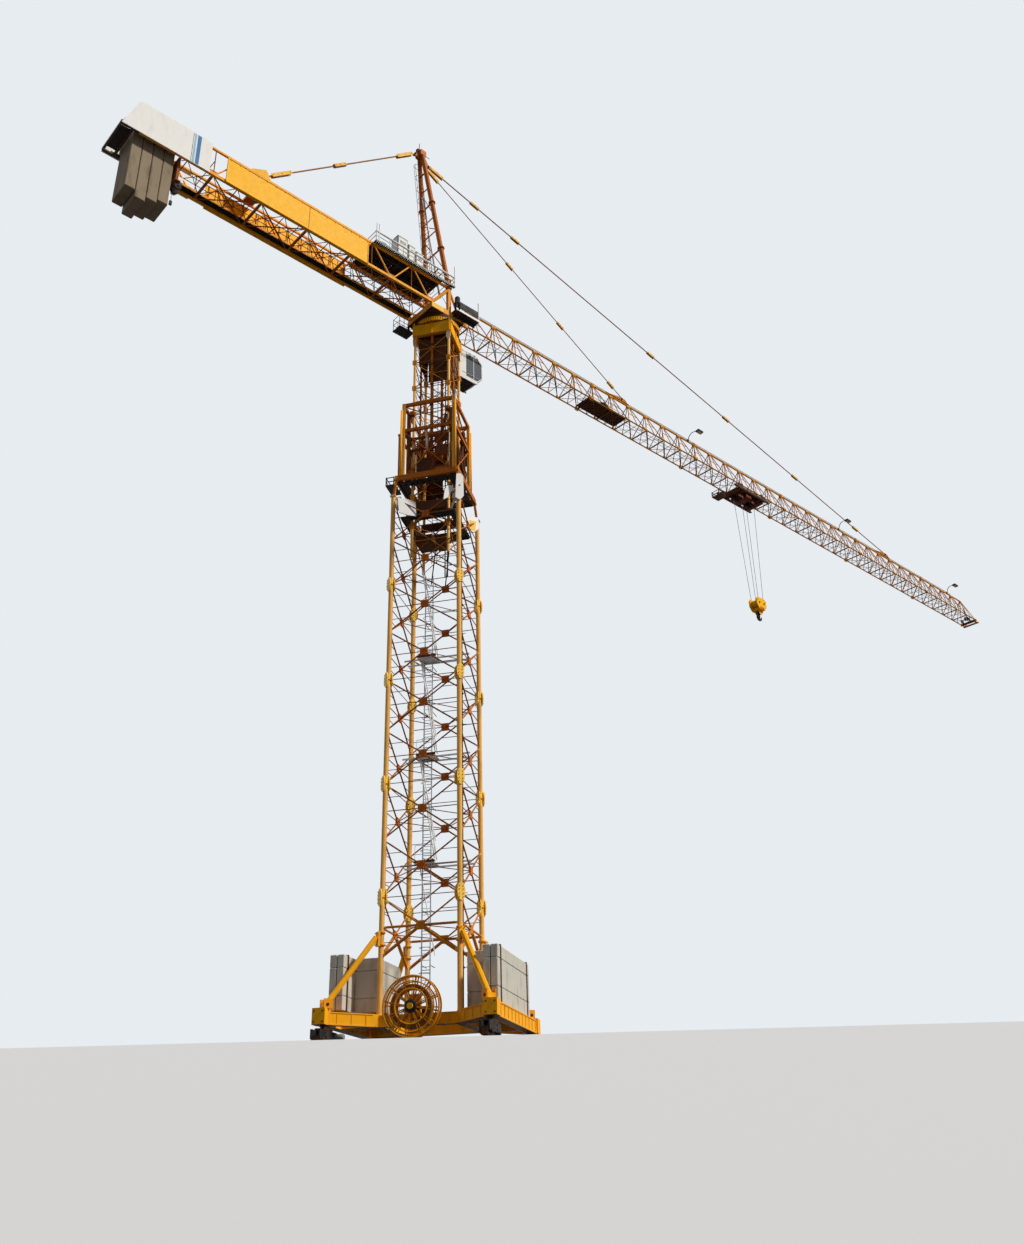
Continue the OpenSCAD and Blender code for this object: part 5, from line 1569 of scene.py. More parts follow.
@dataclass
class Hoist(Assembly):
    """The four rope falls, and the hook block with its hook.

    Attributes:
        palette: the finishes.
        x: place of the hook along the jib.
        top: upper end of the falls.
        block: top of the hook block.
    """

    palette: Palette
    x: float = 3.100
    top: float = 4.207
    block: float = 3.350

    def ropes(self) -> None:
        """The falls, straight between trolley and block, stretching as the hook moves."""
        shape = Shape("hoist_rope_falls")
        for i, (side, k) in enumerate(((-1, 1), (-1, 0), (1, 0), (1, 1))):
            y = 0.016 if i % 2 == 0 else -0.016
            shape.bars((self.x + side * (0.042 + 0.011 * k), y, self.block - 0.020),
                       (self.x + side * (0.050 + 0.058 * k), y, self.top), 0.0034, 8)
        piece = shape.build([self.palette.rope])
        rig.blend(piece, Body.TROLLEY.value, Body.HOOK.value, start=(self.x, 0, self.top), end=(self.x, 0, self.block - 0.020))
        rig.replaces(piece, "hoist_ropes")
        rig.slot(piece, "rope_steel")
        LOG.info("hoist rope falls: %d faces", len(piece.data.polygons))

    def hook(self) -> None:
        """A forged hook with a swelling bowl, shank and nut."""
        shape = Shape("forged_hook")
        z = self.block - 0.150
        angle = np.radians(np.concatenate([np.linspace(90, 268, 20), np.linspace(278, 374, 12)]))
        centre = np.stack([self.x + 0.0240 * np.cos(angle), np.zeros(len(angle)), z + 0.0240 * np.sin(angle)], axis=1)
        thick = np.interp(np.degrees(angle), (90, 150, 220, 270, 330, 374), (0.011, 0.013, 0.0145, 0.015, 0.012, 0.005))
        radial = np.stack([np.cos(angle), np.zeros(len(angle)), np.sin(angle)], axis=1)
        n = 12
        phi = np.arange(n) * 2 * np.pi / n
        points = (centre[:, None] + radial[:, None] * (np.cos(phi)[None, :, None] * thick[:, None, None] / 2)
                  + np.array([0, 1.0, 0]) * (np.sin(phi)[None, :, None] * thick[:, None, None] * 0.55))
        i, j, a = np.arange(n), (np.arange(n) + 1) % n, (np.arange(len(angle) - 1) * n)[:, None]
        quads = np.stack([a + i, a + j, a + n + j, a + n + i], axis=2).reshape(-1, 4)
        shape.add(points.reshape(-1, 3), quads, 0, True)
        caps = np.stack([i[::-1], i + (len(angle) - 1) * n])
        shape.add(points.reshape(-1, 3), caps, 0)
        shape.lathe([(0.0005, -0.022), (0.0065, -0.022), (0.007, 0.030), (0.0068, 0.074), (0.0005, 0.074)],
                    place((self.x, 0, self.block - 0.150 + 0.0005)), 24, 0)
        shape.lathe([(0.002, 0.0), (0.013, 0.0), (0.013, 0.018), (0.010, 0.022), (0.002, 0.022)],
                    place((self.x, 0, self.block - 0.130)), 6, 0, False)
        # safety latch
        shape.boxes((0, 0, 0), (0.034, 0.005, 0.003), 1, place((self.x + 0.016, 0, z + 0.010), (0.86, 0, 0.5)))
        self.put(shape, Body.HOOK, ("dark_steel", "galvanised"), "dark_steel", ("crane_hook",))

    def sheaves(self) -> None:
        """Sheaves, pins and cover edges of the block."""
        shape = Shape("hook_block_fittings")
        for s in (-1, 1):
            at = (self.x + s * 0.028, 0, self.block - 0.044)
            for y in (-0.016, 0.016):
                sheave(shape, axle((at[0], y, at[2]), (0, 1, 0)), 0.0252, 0.010, 0)
            for y in (-0.0385, 0.0385):
                shape.bars((at[0], y, at[2]), (at[0], y * 1.08, at[2]), 0.013, 6, 0)
        for y in (-0.0375, 0.0375):
            shape.boxes((self.x, y, self.block - 0.088), (0.05, 0.0014, 0.02), 1)
            for dx in (-0.045, 0.045):
                shape.bars((self.x + dx, y, self.block - 0.025), (self.x + dx, y * 1.06, self.block - 0.025), 0.007, 6, 0)
        # guard plates that narrow down to the hook's shank
        for y in (-0.0185, 0.0155):
            shape.plate([(-0.031, -0.096), (0.031, -0.096), (0.014, -0.131), (-0.014, -0.131)][::-1], 0.003,
                        place((self.x, y, self.block), (1, 0, 0), (0, 1, 0)) @ np.diag([1.0, -1.0, -1.0, 1.0]), 2)
        self.put(shape, Body.HOOK, ("dark_steel", "deep_orange", "yellow"), "red_orange_frame")

    def build(self) -> None:
        """Makes every piece."""
        self.ropes()
        self.hook()
        self.sheaves()


# Mast, climbing gear and base, all in the mast's own frame


@dataclass
class SlewingHead(Assembly):
    """Ring gear, bolts and drives between the fixed head and the slewing platform.

    Attributes:
        palette: the finishes.
    """

    palette: Palette

    def build(self) -> None:
        """Makes the pieces."""
        fixed = Shape("slewing_ring_fixed_part", MAST)
        count = 60
        t = np.arange(count * 4) * 2 * np.pi / (count * 4)
        r = np.where(np.arange(count * 4) % 4 < 2, 0.1385, 0.1345)
        ring = np.stack([np.cos(t) * r, np.sin(t) * r], axis=1)
        n = len(t)
        i, j = np.arange(n), (np.arange(n) + 1) % n
        low, high = np.column_stack([ring, np.full(n, 4.191)]), np.column_stack([ring, np.full(n, 4.205)])
        inner_low, inner_high = low * (0.9, 0.9, 1), high * (0.9, 0.9, 1)
        points = np.vstack([low, high, inner_high, inner_low])
        quads = [np.stack([i + a * n, j + a * n, j + ((a + 1) % 4) * n, i + ((a + 1) % 4) * n], axis=1) for a in range(4)]
        # the toothed ring is brown: painted shade under the slewing platform
        fixed.add(points, np.vstack(quads), 1)
        a = np.arange(36) * 2 * np.pi / 36
        bolts = rows(np.cos(a) * 0.128, np.sin(a) * 0.128, 4.184)
        fixed.bars(bolts, bolts - (0, 0, 0.006), 0.008, 6, 1)
        # dark band under the ring as painted shade, seams and bright edge plates of the head box
        for k in range(4):
            at = turn_z(k * math.pi / 2)
            fixed.boxes((0, -0.1185, 4.184), (0.237, 0.002, 0.012), 1, at)
            fixed.boxes((0.002, -0.1184, 4.143), (0.004, 0.001, 0.094), 1, at)
            fixed.boxes((0, -0.119, 4.100), (0.240, 0.004, 0.008), 0, at)
            fixed.boxes((0, -0.090, 4.112), (0.16, 0.04, 0.006), 1, at)
            # dark brown sheets between the inner mast's legs under the head: painted shade
            fixed.boxes((0, -0.088, 3.986), (0.165, 0.003, 0.183), 1, at)
            if k < 2:
                fixed.boxes((0.052 - 0.052 * k, -0.088, 3.820), (0.090 + 0.070 * k, 0.003, 0.150), 1, at)
                fixed.boxes(rows(spread(0.018, 0.088, 0.014), -0.0905, 3.820), (0.002, 0.002, 0.150), 1, at)
            # oval fitting at the inner mast's top, with its bolts
            fixed.plate([(0.013 * math.cos(v), 0.034 * math.sin(v)) for v in np.linspace(0, 2 * math.pi, 17)[:-1]], 0.004,
                        at @ place((0.106, -0.1165, 4.064), (1, 0, 0), (0, -1, 0)), 2)
        self.put(fixed, Body.BASE, ("bright_orange", "brown", "cream"), "red_orange_frame")
        moving = Shape("slewing_drives")
        for x, y in ((0.060, 0.148), (-0.060, 0.148), (0.04, -0.148)):
            moving.lathe([(0.002, 0.0), (0.018, 0.0), (0.018, 0.05), (0.022, 0.052), (0.022, 0.060), (0.017, 0.062),
                          (0.017, 0.105), (0.013, 0.112), (0.002, 0.112)], place((x, y, 4.292)), 24, 0)
            moving.boxes((x, y * 0.86, 4.286), (0.05, 0.064, 0.006), 1)
        # the slewing ring is dark brown: painted shade under the platform
        moving.lathe([(0.086, 4.2095), (0.1262, 4.2095), (0.1262, 4.249), (0.086, 4.249)], UPRIGHT, 64, 1, False)
        # dark ribs and a dark sheet under the platform as painted shade, and the light box at its near corner
        moving.boxes(rows(np.array([-0.13, -0.105, 0.105]), 0, 4.247), (0.006, 0.22, 0.006), 1)
        moving.boxes((-0.093, -0.1205, 4.269), (0.090, 0.003, 0.036), 2)
        moving.boxes((-0.0125, 0, 4.248), (0.253, 0.238, 0.003), 1)
        self.put(moving, Body.UPPER, ("dark_steel", "brown", "bright_yellow"), "dark_steel")


@dataclass
class Mast(Assembly):
    """Secondary bracing, joint bolts and the ladder of the lower and inner mast.

    Attributes:
        palette: the finishes.
        half: half of the width between the lower mast's legs.
        foot: height of the lowest section's foot.
        section: height of a section.
        sections: number of sections.
        inner: half of the width between the inner mast's legs.
        inner_foot: lower end of the inner mast.
        inner_pitch: panel height of the inner mast.
    """

    palette: Palette
    half: float = 0.190
    foot: float = 0.113
    section: float = 0.558
    sections: int = 5
    inner: float = 0.106
    inner_foot: float = 2.552
    inner_pitch: float = 0.192

    def bracing(self) -> None:
        """Thin redundant members of the lower mast's faces and the plan frames inside it."""
        shape = Shape("mast_fine_bracing", MAST)
        for i in range(self.sections):
            z0 = self.foot + i * self.section
            for k in (0, 1):
                low = z0 + k * self.section / 2
                if i == 0 and k == 0:
                    continue
                quarter = self.section / 8
                for turn in range(4):
                    at = turn_z(turn * math.pi / 2)
                    for side in (-1, 1):
                        a = (side * self.half / 2, -self.half, low + quarter)
                        b = (side * self.half / 2, -self.half, low + 3 * quarter)
                        shape.bars(a, (side * self.half, -self.half, low + quarter), 0.0038, 5, 0, at)
                        shape.bars(b, (side * self.half, -self.half, low + 3 * quarter), 0.0038, 5, 0, at)
            for z in (z0 + self.section / 4, z0 + self.section * 3 / 4):
                if i == 0 and z < z0 + 0.2:
                    continue
                ring = [(0, -self.half, z), (self.half, 0, z), (0, self.half, z), (-self.half, 0, z)]
                shape.bars(np.array(ring), np.roll(np.array(ring), -1, axis=0), 0.0048, 5, 0)
            top = z0 + self.section
            if i < self.sections - 1:
                corners = np.array([(-1, -1), (1, -1), (1, 1), (-1, 1)]) * self.half
                p = np.column_stack([corners, np.full(4, top)])
                shape.bars(p, np.roll(p, -1, axis=0), 0.0042, 5, 0)
        # the fine braces are dark brown as painted shade
        self.put(shape, Body.BASE, ("shaded_brace_brown",), "orange_frame")

    def joints(self) -> None:
        """Bolts on the oval joint plates and gusset plates of the lower mast."""
        shape = Shape("mast_joint_bolts", MAST)
        reach = 0.0135 + 0.0045
        for i in range(1, self.sections):
            z = self.foot + i * self.section
            for x in (-1, 1):
                for y in (-1, 1):
                    out = math.atan2(y, x)
                    at = place((x * self.half, y * self.half, z), (math.cos(out), math.sin(out), 0))
                    for s in (-1, 1):
                        points = rows(s * reach, np.array([-0.010, 0.010])[:, None],
                                      np.array([-0.026, -0.010, 0.010, 0.026])[None])
                        shape.bars(points, points + (s * 0.003, 0, 0), 0.0055, 6, 0, at)
                    # collar rings of the leg joint
                    shape.lathe([(0.012, -0.004), (0.0155, -0.004), (0.0155, 0.004), (0.012, 0.004)], at, 20, 1)
        for i in range(self.sections):
            # the lower half of the lowest section has no gusset plates
            for k in (0.25, 0.75)[(i == 0):]:
                z = self.foot + (i + k) * self.section
                for turn in range(4):
                    at = turn_z(turn * math.pi / 2)
                    points = rows(np.array([-0.013, 0.013])[:, None], -self.half - 0.005,
                                  z + np.array([-0.013, 0.013])[None])
                    shape.bars(points, points - (0, 0.0025, 0), 0.005, 6, 0, at)
        self.put(shape, Body.BASE, ("bright_orange", "orange"), "orange_frame")

    def ladder(self) -> None:
        """Pale rungs and stringers, safety hoops, rest-platform rails and cable clips inside the mast."""
        shape = Shape("mast_ladder_hoops", MAST)
        x, y, w = -0.070, 0.110, 0.021
        rungs = spread(0.30, 2.50, 0.031)
        shape.bars(rows(x - w, y - 0.001, rungs), rows(x + w, y - 0.001, rungs), 0.0032, 5, 1)
        for side in (-1, 1):
            shape.boxes((x + side * (w + 0.001), y - 0.001, 1.40), (0.004, 0.007, 2.22), 1)
        for z in spread(0.36, 2.50, 0.12):
            shape.tube([(x - w, y, z), (x - w - 0.006, y - 0.024, z), (x - 0.012, y - 0.042, z), (x + 0.012, y - 0.042, z),
                        (x + w + 0.006, y - 0.024, z), (x + w, y, z)], 0.0026, 5, 0)
        ties = spread(0.40, 2.50, 0.28)
        for side in (-1, 1):
            shape.bars(rows(x + side * w, y, ties), rows(x + side * w, self.half - 0.004, ties), 0.004, 5, 0)
        for i in range(1, self.sections - 1):
            z = self.foot + i * self.section + 0.205
            shape.boxes(rows(spread(-0.102, -0.006, 0.008), 0.064, z + 0.0035), (0.002, 0.084, 0.003), 3)
            shape.boxes((-0.054, 0.0215, z + 0.008), (0.104, 0.003, 0.014), 3)
            shape.bars(rows(np.array([-0.104, -0.004]), 0.022, z), rows(np.array([-0.104, -0.004]), 0.022, z + 0.09), 0.0035, 5, 1)
            for share in (0.5, 1.0):
                shape.bars((-0.104, 0.022, z + 0.09 * share), (-0.004, 0.022, z + 0.09 * share), 0.003, 5, 1)
            # white handrails that slope down to the next platform
            for yy in (0.052, 0.092):
                shape.bars((-0.096, yy, z + self.section + 0.01), (-0.012, yy, z + 0.03), 0.0065, 8, 2)
            shape.bars((-0.096, 0.072, z + 0.01), (-0.012, 0.072, z - self.section + 0.12), 0.005, 8, 2)
        clips = spread(0.35, 2.75, 0.18)
        shape.boxes(rows(self.half - 0.024, -0.060, clips), (0.014, 0.014, 0.008), 0)
        shape.bars(rows(self.half - 0.018, -0.060, clips), rows(self.half, -0.060, clips), 0.003, 5, 0)
        self.put(shape, Body.BASE, ("dark_steel", "galvanised", "bright_white", "red_brown"), "brown_steel")

    def inner_mast(self) -> None:
        """Second diagonals and climbing lugs of the inner mast."""
        shape = Shape("inner_mast_fine_bracing", MAST)
        count = int((4.096 - self.inner_foot) / self.inner_pitch)
        w = self.inner
        for i in range(count):
            z = self.inner_foot + i * self.inner_pitch
            flip = -1 if i % 2 == 0 else 1
            for turn in range(4):
                at = turn_z(turn * math.pi / 2)
                shape.bars((-flip * w * 0.96, -w, z + 0.008), (flip * w * 0.96, -w, z + self.inner_pitch - 0.010), 0.0042, 5, 0, at)
                shape.bars((-w * 0.96, -w, z + self.inner_pitch / 2), (w * 0.96, -w, z + self.inner_pitch / 2), 0.0036, 5, 0, at)
                shape.boxes(rows(np.array([-w, w]), -w - 0.0075, z + self.inner_pitch), (0.026, 0.004, 0.03), 0, at)
            corners = np.array([(-1, -1, 0), (1, 1, 0), (-1, 1, 0), (1, -1, 0)]) * (w, w, 1) + (0, 0, z + self.inner_pitch)
            shape.bars(corners[0::2], corners[1::2], 0.0036, 5, 0)
        # climbing ladder inside, dark service cables
        shape.bars(rows(np.array([-0.05, -0.02]), 0.085, 2.60), rows(np.array([-0.05, -0.02]), 0.085, 4.08), 0.004, 5, 1)
        rungs = spread(2.62, 4.07, 0.03)
        shape.bars(rows(-0.05, 0.085, rungs), rows(-0.02, 0.085, rungs), 0.003, 5, 1)
        for x, y in ((0.03, 0.08), (0.045, 0.08)):
            shape.bars((x, y, 2.50), (x, y, 4.10), 0.007, 8, 2)
        # middle posts of the upper faces, with their clamps
        for turn in range(4):
            at = turn_z(turn * math.pi / 2)
            shape.boxes((0.0, -w + 0.004, 3.70), (0.014, 0.008, 0.77), 3, at)
            shape.boxes(rows(0.0, -w - 0.001, spread(3.42, 4.02, 0.15)), (0.022, 0.004, 0.012), 1, at)
        self.put(shape, Body.BASE, ("orange", "brown", "rubber", "deep_orange"), "orange_frame")

    def build(self) -> None:
        """Makes every piece."""
        self.bracing()
        self.joints()
        self.ladder()
        self.inner_mast()


@dataclass
class ClimbingGear(Assembly):
    """What sits in and under the climbing cage: jacks, guide shoes, pump, plates.

    Attributes:
        palette: the finishes.
        ring: height of the cage's lower ring.
        top: top of the lower mast.
    """

    palette: Palette
    ring: float = 3.013
    top: float = 2.903

    def shoes(self) -> None:
        """Light corner shoes on the mast's top, in place of the plain solids."""
        shape = Shape("corner_shoes", MAST)
        for x in (-1, 1):
            for y in (-1, 1):
                shape.boxes((x * 0.164, y * 0.164, self.top - 0.030), (0.028, 0.028, 0.076), 0, None, 0.002)
                shape.bars((x * 0.164, y * 0.164, self.top - 0.044), (x * 0.118, y * 0.118, self.top - 0.104), 0.014, 8, 0)
                shape.boxes((x * 0.190, y * 0.190, self.top + 0.003), (0.034, 0.034, 0.006), 0, None, 0.001)
        for s in (-1, 1):
            shape.boxes((0, s * 0.126, self.top - 0.104), (0.264, 0.012, 0.030), 1)
            shape.boxes((s * 0.126, 0, self.top - 0.104), (0.012, 0.264, 0.030), 1)
        # light cover sheets that lean out at three corners
        shape.plate([(-0.042, 0.068), (-0.038, -0.054), (0.009, -0.071), (0.056, -0.074), (0.058, 0.041), (0.002, 0.066)], 0.004,
                    place((-0.115, -0.196, self.top - 0.078), (0.896, 0.443, 0.016), (0.421, -0.862, 0.281)), 0)
        shape.plate([(0.001, 0.050), (-0.017, 0.013), (-0.028, -0.062), (-0.005, -0.045), (0.028, 0.022), (0.033, 0.056)], 0.004,
                    place((0.135, -0.214, self.top - 0.038), (0.855, 0.518, 0.009), (0.503, -0.835, 0.221)), 0)
        shape.plate([(-0.015, 0.077), (-0.027, -0.090), (-0.001, -0.103), (0.022, -0.071), (0.025, 0.068), (0.008, 0.089)], 0.004,
                    place((0.198, -0.202, self.top + 0.002), (0.831, 0.557, -0.001), (0.553, -0.824, 0.121)), 0)
        sheet = place((0.168, 0.080, self.top - 0.068), (0.559, 0.829, 0.0), (0.825, -0.557, 0.099))
        shape.plate([(-0.048, 0.041), (-0.052, -0.063), (0.038, -0.053), (0.078, -0.010), (0.080, 0.068), (0.006, 0.047)], 0.004, sheet, 0)
        shape.plate([(0.010, 0.020), (0.014, -0.044), (0.046, -0.040), (0.060, 0.030)], 0.007, sheet, 3)
        self.put(shape, Body.BASE, ("bright_white", "brown", "cream", "bright_yellow"), "white_panel", ("mast_collar",))

    def jacks(self) -> None:
        """Hydraulic cylinder with hoses, pump unit, guide wheels and inner plates."""
        shape = Shape("climbing_gear", MAST)
        for y in (-0.060, 0.060):
            base = self.ring - 0.020
            shape.lathe([(0.002, 0.0), (0.017, 0.0), (0.017, 0.26), (0.019, 0.262), (0.019, 0.274), (0.010, 0.276),
                         (0.010, 0.38), (0.014, 0.382), (0.014, 0.40), (0.002, 0.40)],
                        place((0.138, y, base)), 24, 1)
            shape.tube([(0.138, y + 0.02, base + 0.25), (0.15, y + 0.05, base + 0.20), (0.14, y + 0.05, base + 0.06),
                        (0.06, 0.14, base + 0.05)], 0.006, 8, 3)
        shape.boxes((0.02, 0.142, self.ring + 0.045), (0.09, 0.030, 0.07), 1, None, 0.003)
        shape.boxes((-0.07, 0.142, self.ring + 0.035), (0.05, 0.030, 0.05), 1, None, 0.003)
        # cross beams and tall guide plates behind the far faces
        shape.boxes((0, 0.138, 3.30), (0.20, 0.008, 0.16), 0)
        shape.boxes((-0.075, 0.138, 3.15), (0.05, 0.008, 0.20), 0)
        shape.boxes((-0.136, 0.03, 3.26), (0.008, 0.14, 0.22), 0)
        shape.boxes((0.0, -0.128, 3.085), (0.24, 0.010, 0.030), 0)
        # dark brown diagonal: painted shade inside the cage
        shape.bars((0.101, -0.137, 3.455), (0.013, -0.137, 3.068), 0.024, 4, 5)
        shape.bars((0.13, -0.13, 3.06), (0.12, 0.13, 3.36), 0.014, 4, 0)
        # upright cream bars between the cage and the inner mast, pale as painted highlights
        for x, low, high, wide in ((-0.080, 3.055, 3.200, 0.009), (-0.015, 3.225, 3.325, 0.016), (0.120, 3.090, 3.330, 0.009)):
            shape.bars((x, -0.135, low), (x, -0.135, high), wide, 12, 4)
        # dark brown posts at the corners: painted shade inside the cage
        shape.boxes(rows(np.array([-0.128, 0.128]), -0.128, 3.27), (0.020, 0.020, 0.46), 5)
        shape.boxes(rows(np.array([-0.128, 0.128]), 0.128, 3.27), (0.020, 0.020, 0.46), 1)
        # dark plates and cross frames of the jacking gear, dark brown as painted shade inside the cage
        shape.boxes((0.045, 0.130, 3.295), (0.21, 0.006, 0.075), 5)
        shape.boxes((-0.020, -0.133, 3.268), (0.085, 0.004, 0.050), 6)
        shape.boxes((0.085, -0.133, 3.300), (0.110, 0.004, 0.058), 6)
        shape.boxes(rows(np.array([-0.09, 0.02]), 0.131, 3.400), (0.06, 0.006, 0.05), 5)
        shape.boxes((0.131, -0.070, 3.330), (0.006, 0.07, 0.09), 6)
        shape.boxes((-0.055, 0.131, 3.130), (0.11, 0.006, 0.13), 1)
        shape.boxes((0.075, 0.131, 3.150), (0.09, 0.006, 0.17), 5)
        shape.boxes((-0.131, -0.045, 3.170), (0.006, 0.10, 0.22), 1)
        shape.boxes((-0.131, 0.070, 3.360), (0.006, 0.08, 0.12), 5)
        shape.boxes((0.131, 0.060, 3.140), (0.006, 0.11, 0.16), 1)
        shape.boxes((-0.030, -0.131, 3.130), (0.085, 0.006, 0.085), 1)
        shape.boxes((0.070, -0.131, 3.215), (0.070, 0.006, 0.070), 5)
        for z in (3.105, 3.245, 3.325):
            for s in (-1, 1):
                shape.boxes((0, s * 0.126, z), (0.25, 0.010, 0.014), 5)
                shape.boxes((s * 0.126, 0, z), (0.010, 0.25, 0.014), 5)
        # guide wheels on the inner mast's legs
        for z in (3.08, 3.50):
            for x in (-1, 1):
                for y in (-1, 1):
                    shape.lathe([(0.003, -0.008), (0.012, -0.008), (0.012, 0.008), (0.003, 0.008)],
                                axle((x * 0.106, y * 0.128, z), (1, 0, 0)), 20, 2)
                    shape.boxes((x * 0.106, y * 0.142, z), (0.024, 0.012, 0.022), 0)
        # guide pipes on the cage's posts
        for x in (-1, 1):
            for y in (-1, 1):
                shape.bars((x * 0.163, y * 0.163, 3.035), (x * 0.163, y * 0.163, 3.515), 0.012, 12, 7)
        # a cream knob as a painted highlight, left bracket details, hoses hanging in the mast
        shape.boxes((-0.02, -0.134, 3.36), (0.018, 0.012, 0.024), 4, None, 0.003)
        shape.boxes((0.0, 0.0, 2.868), (0.24, 0.020, 0.030), 1)
        shape.boxes((0.0, 0.10, 2.850), (0.24, 0.016, 0.050), 1)
        shape.boxes((0.0, -0.135, 2.850), (0.22, 0.010, 0.060), 1)
        shape.boxes((-0.06, 0.02, 2.70), (0.10, 0.12, 0.05), 1, None, 0.003)
        shape.boxes((0.05, -0.03, 2.66), (0.06, 0.06, 0.08), 1, None, 0.003)
        for x, y, z in ((-0.03, 0.05, 2.45), (0.06, 0.02, 2.40), (0.09, -0.05, 2.52)):
            shape.tube([(x, y, self.top - 0.10), (x + 0.01, y + 0.01, (z + self.top) / 2), (x - 0.01, y, z)], 0.007, 8, 3)
        self.put(shape, Body.BASE, ("deep_orange", "brown", "dark_steel", "rubber", "cream", "shaded_brown", "red_brown",
                                     "bright_orange"), "dark_steel")

    def floors(self) -> None:
        """Chequer ribs, joists and toe boards of the working floors."""
        shape = Shape("cage_floor_joists", MAST)
        for z, outer in ((self.ring - 0.009, 0.172), (self.top - 0.128, 0.154)):
            for s in (-1, 1):
                for shift in spread(-0.14, 0.14, 0.035):
                    if abs(shift) < outer:
                        shape.boxes((shift, s * (outer + 0.122) / 2, z), (0.005, outer - 0.124, 0.008), 0)
                shape.boxes((0, s * (outer - 0.002), z), (2 * outer, 0.004, 0.012), 0)
                shape.boxes((s * (outer - 0.002), 0, z), (0.004, 2 * outer, 0.012), 0)
        self.put(shape, Body.BASE, ("dark_steel",), "dark_steel")

    def build(self) -> None:
        """Makes every piece."""
        self.shoes()
        self.jacks()
        self.floors()


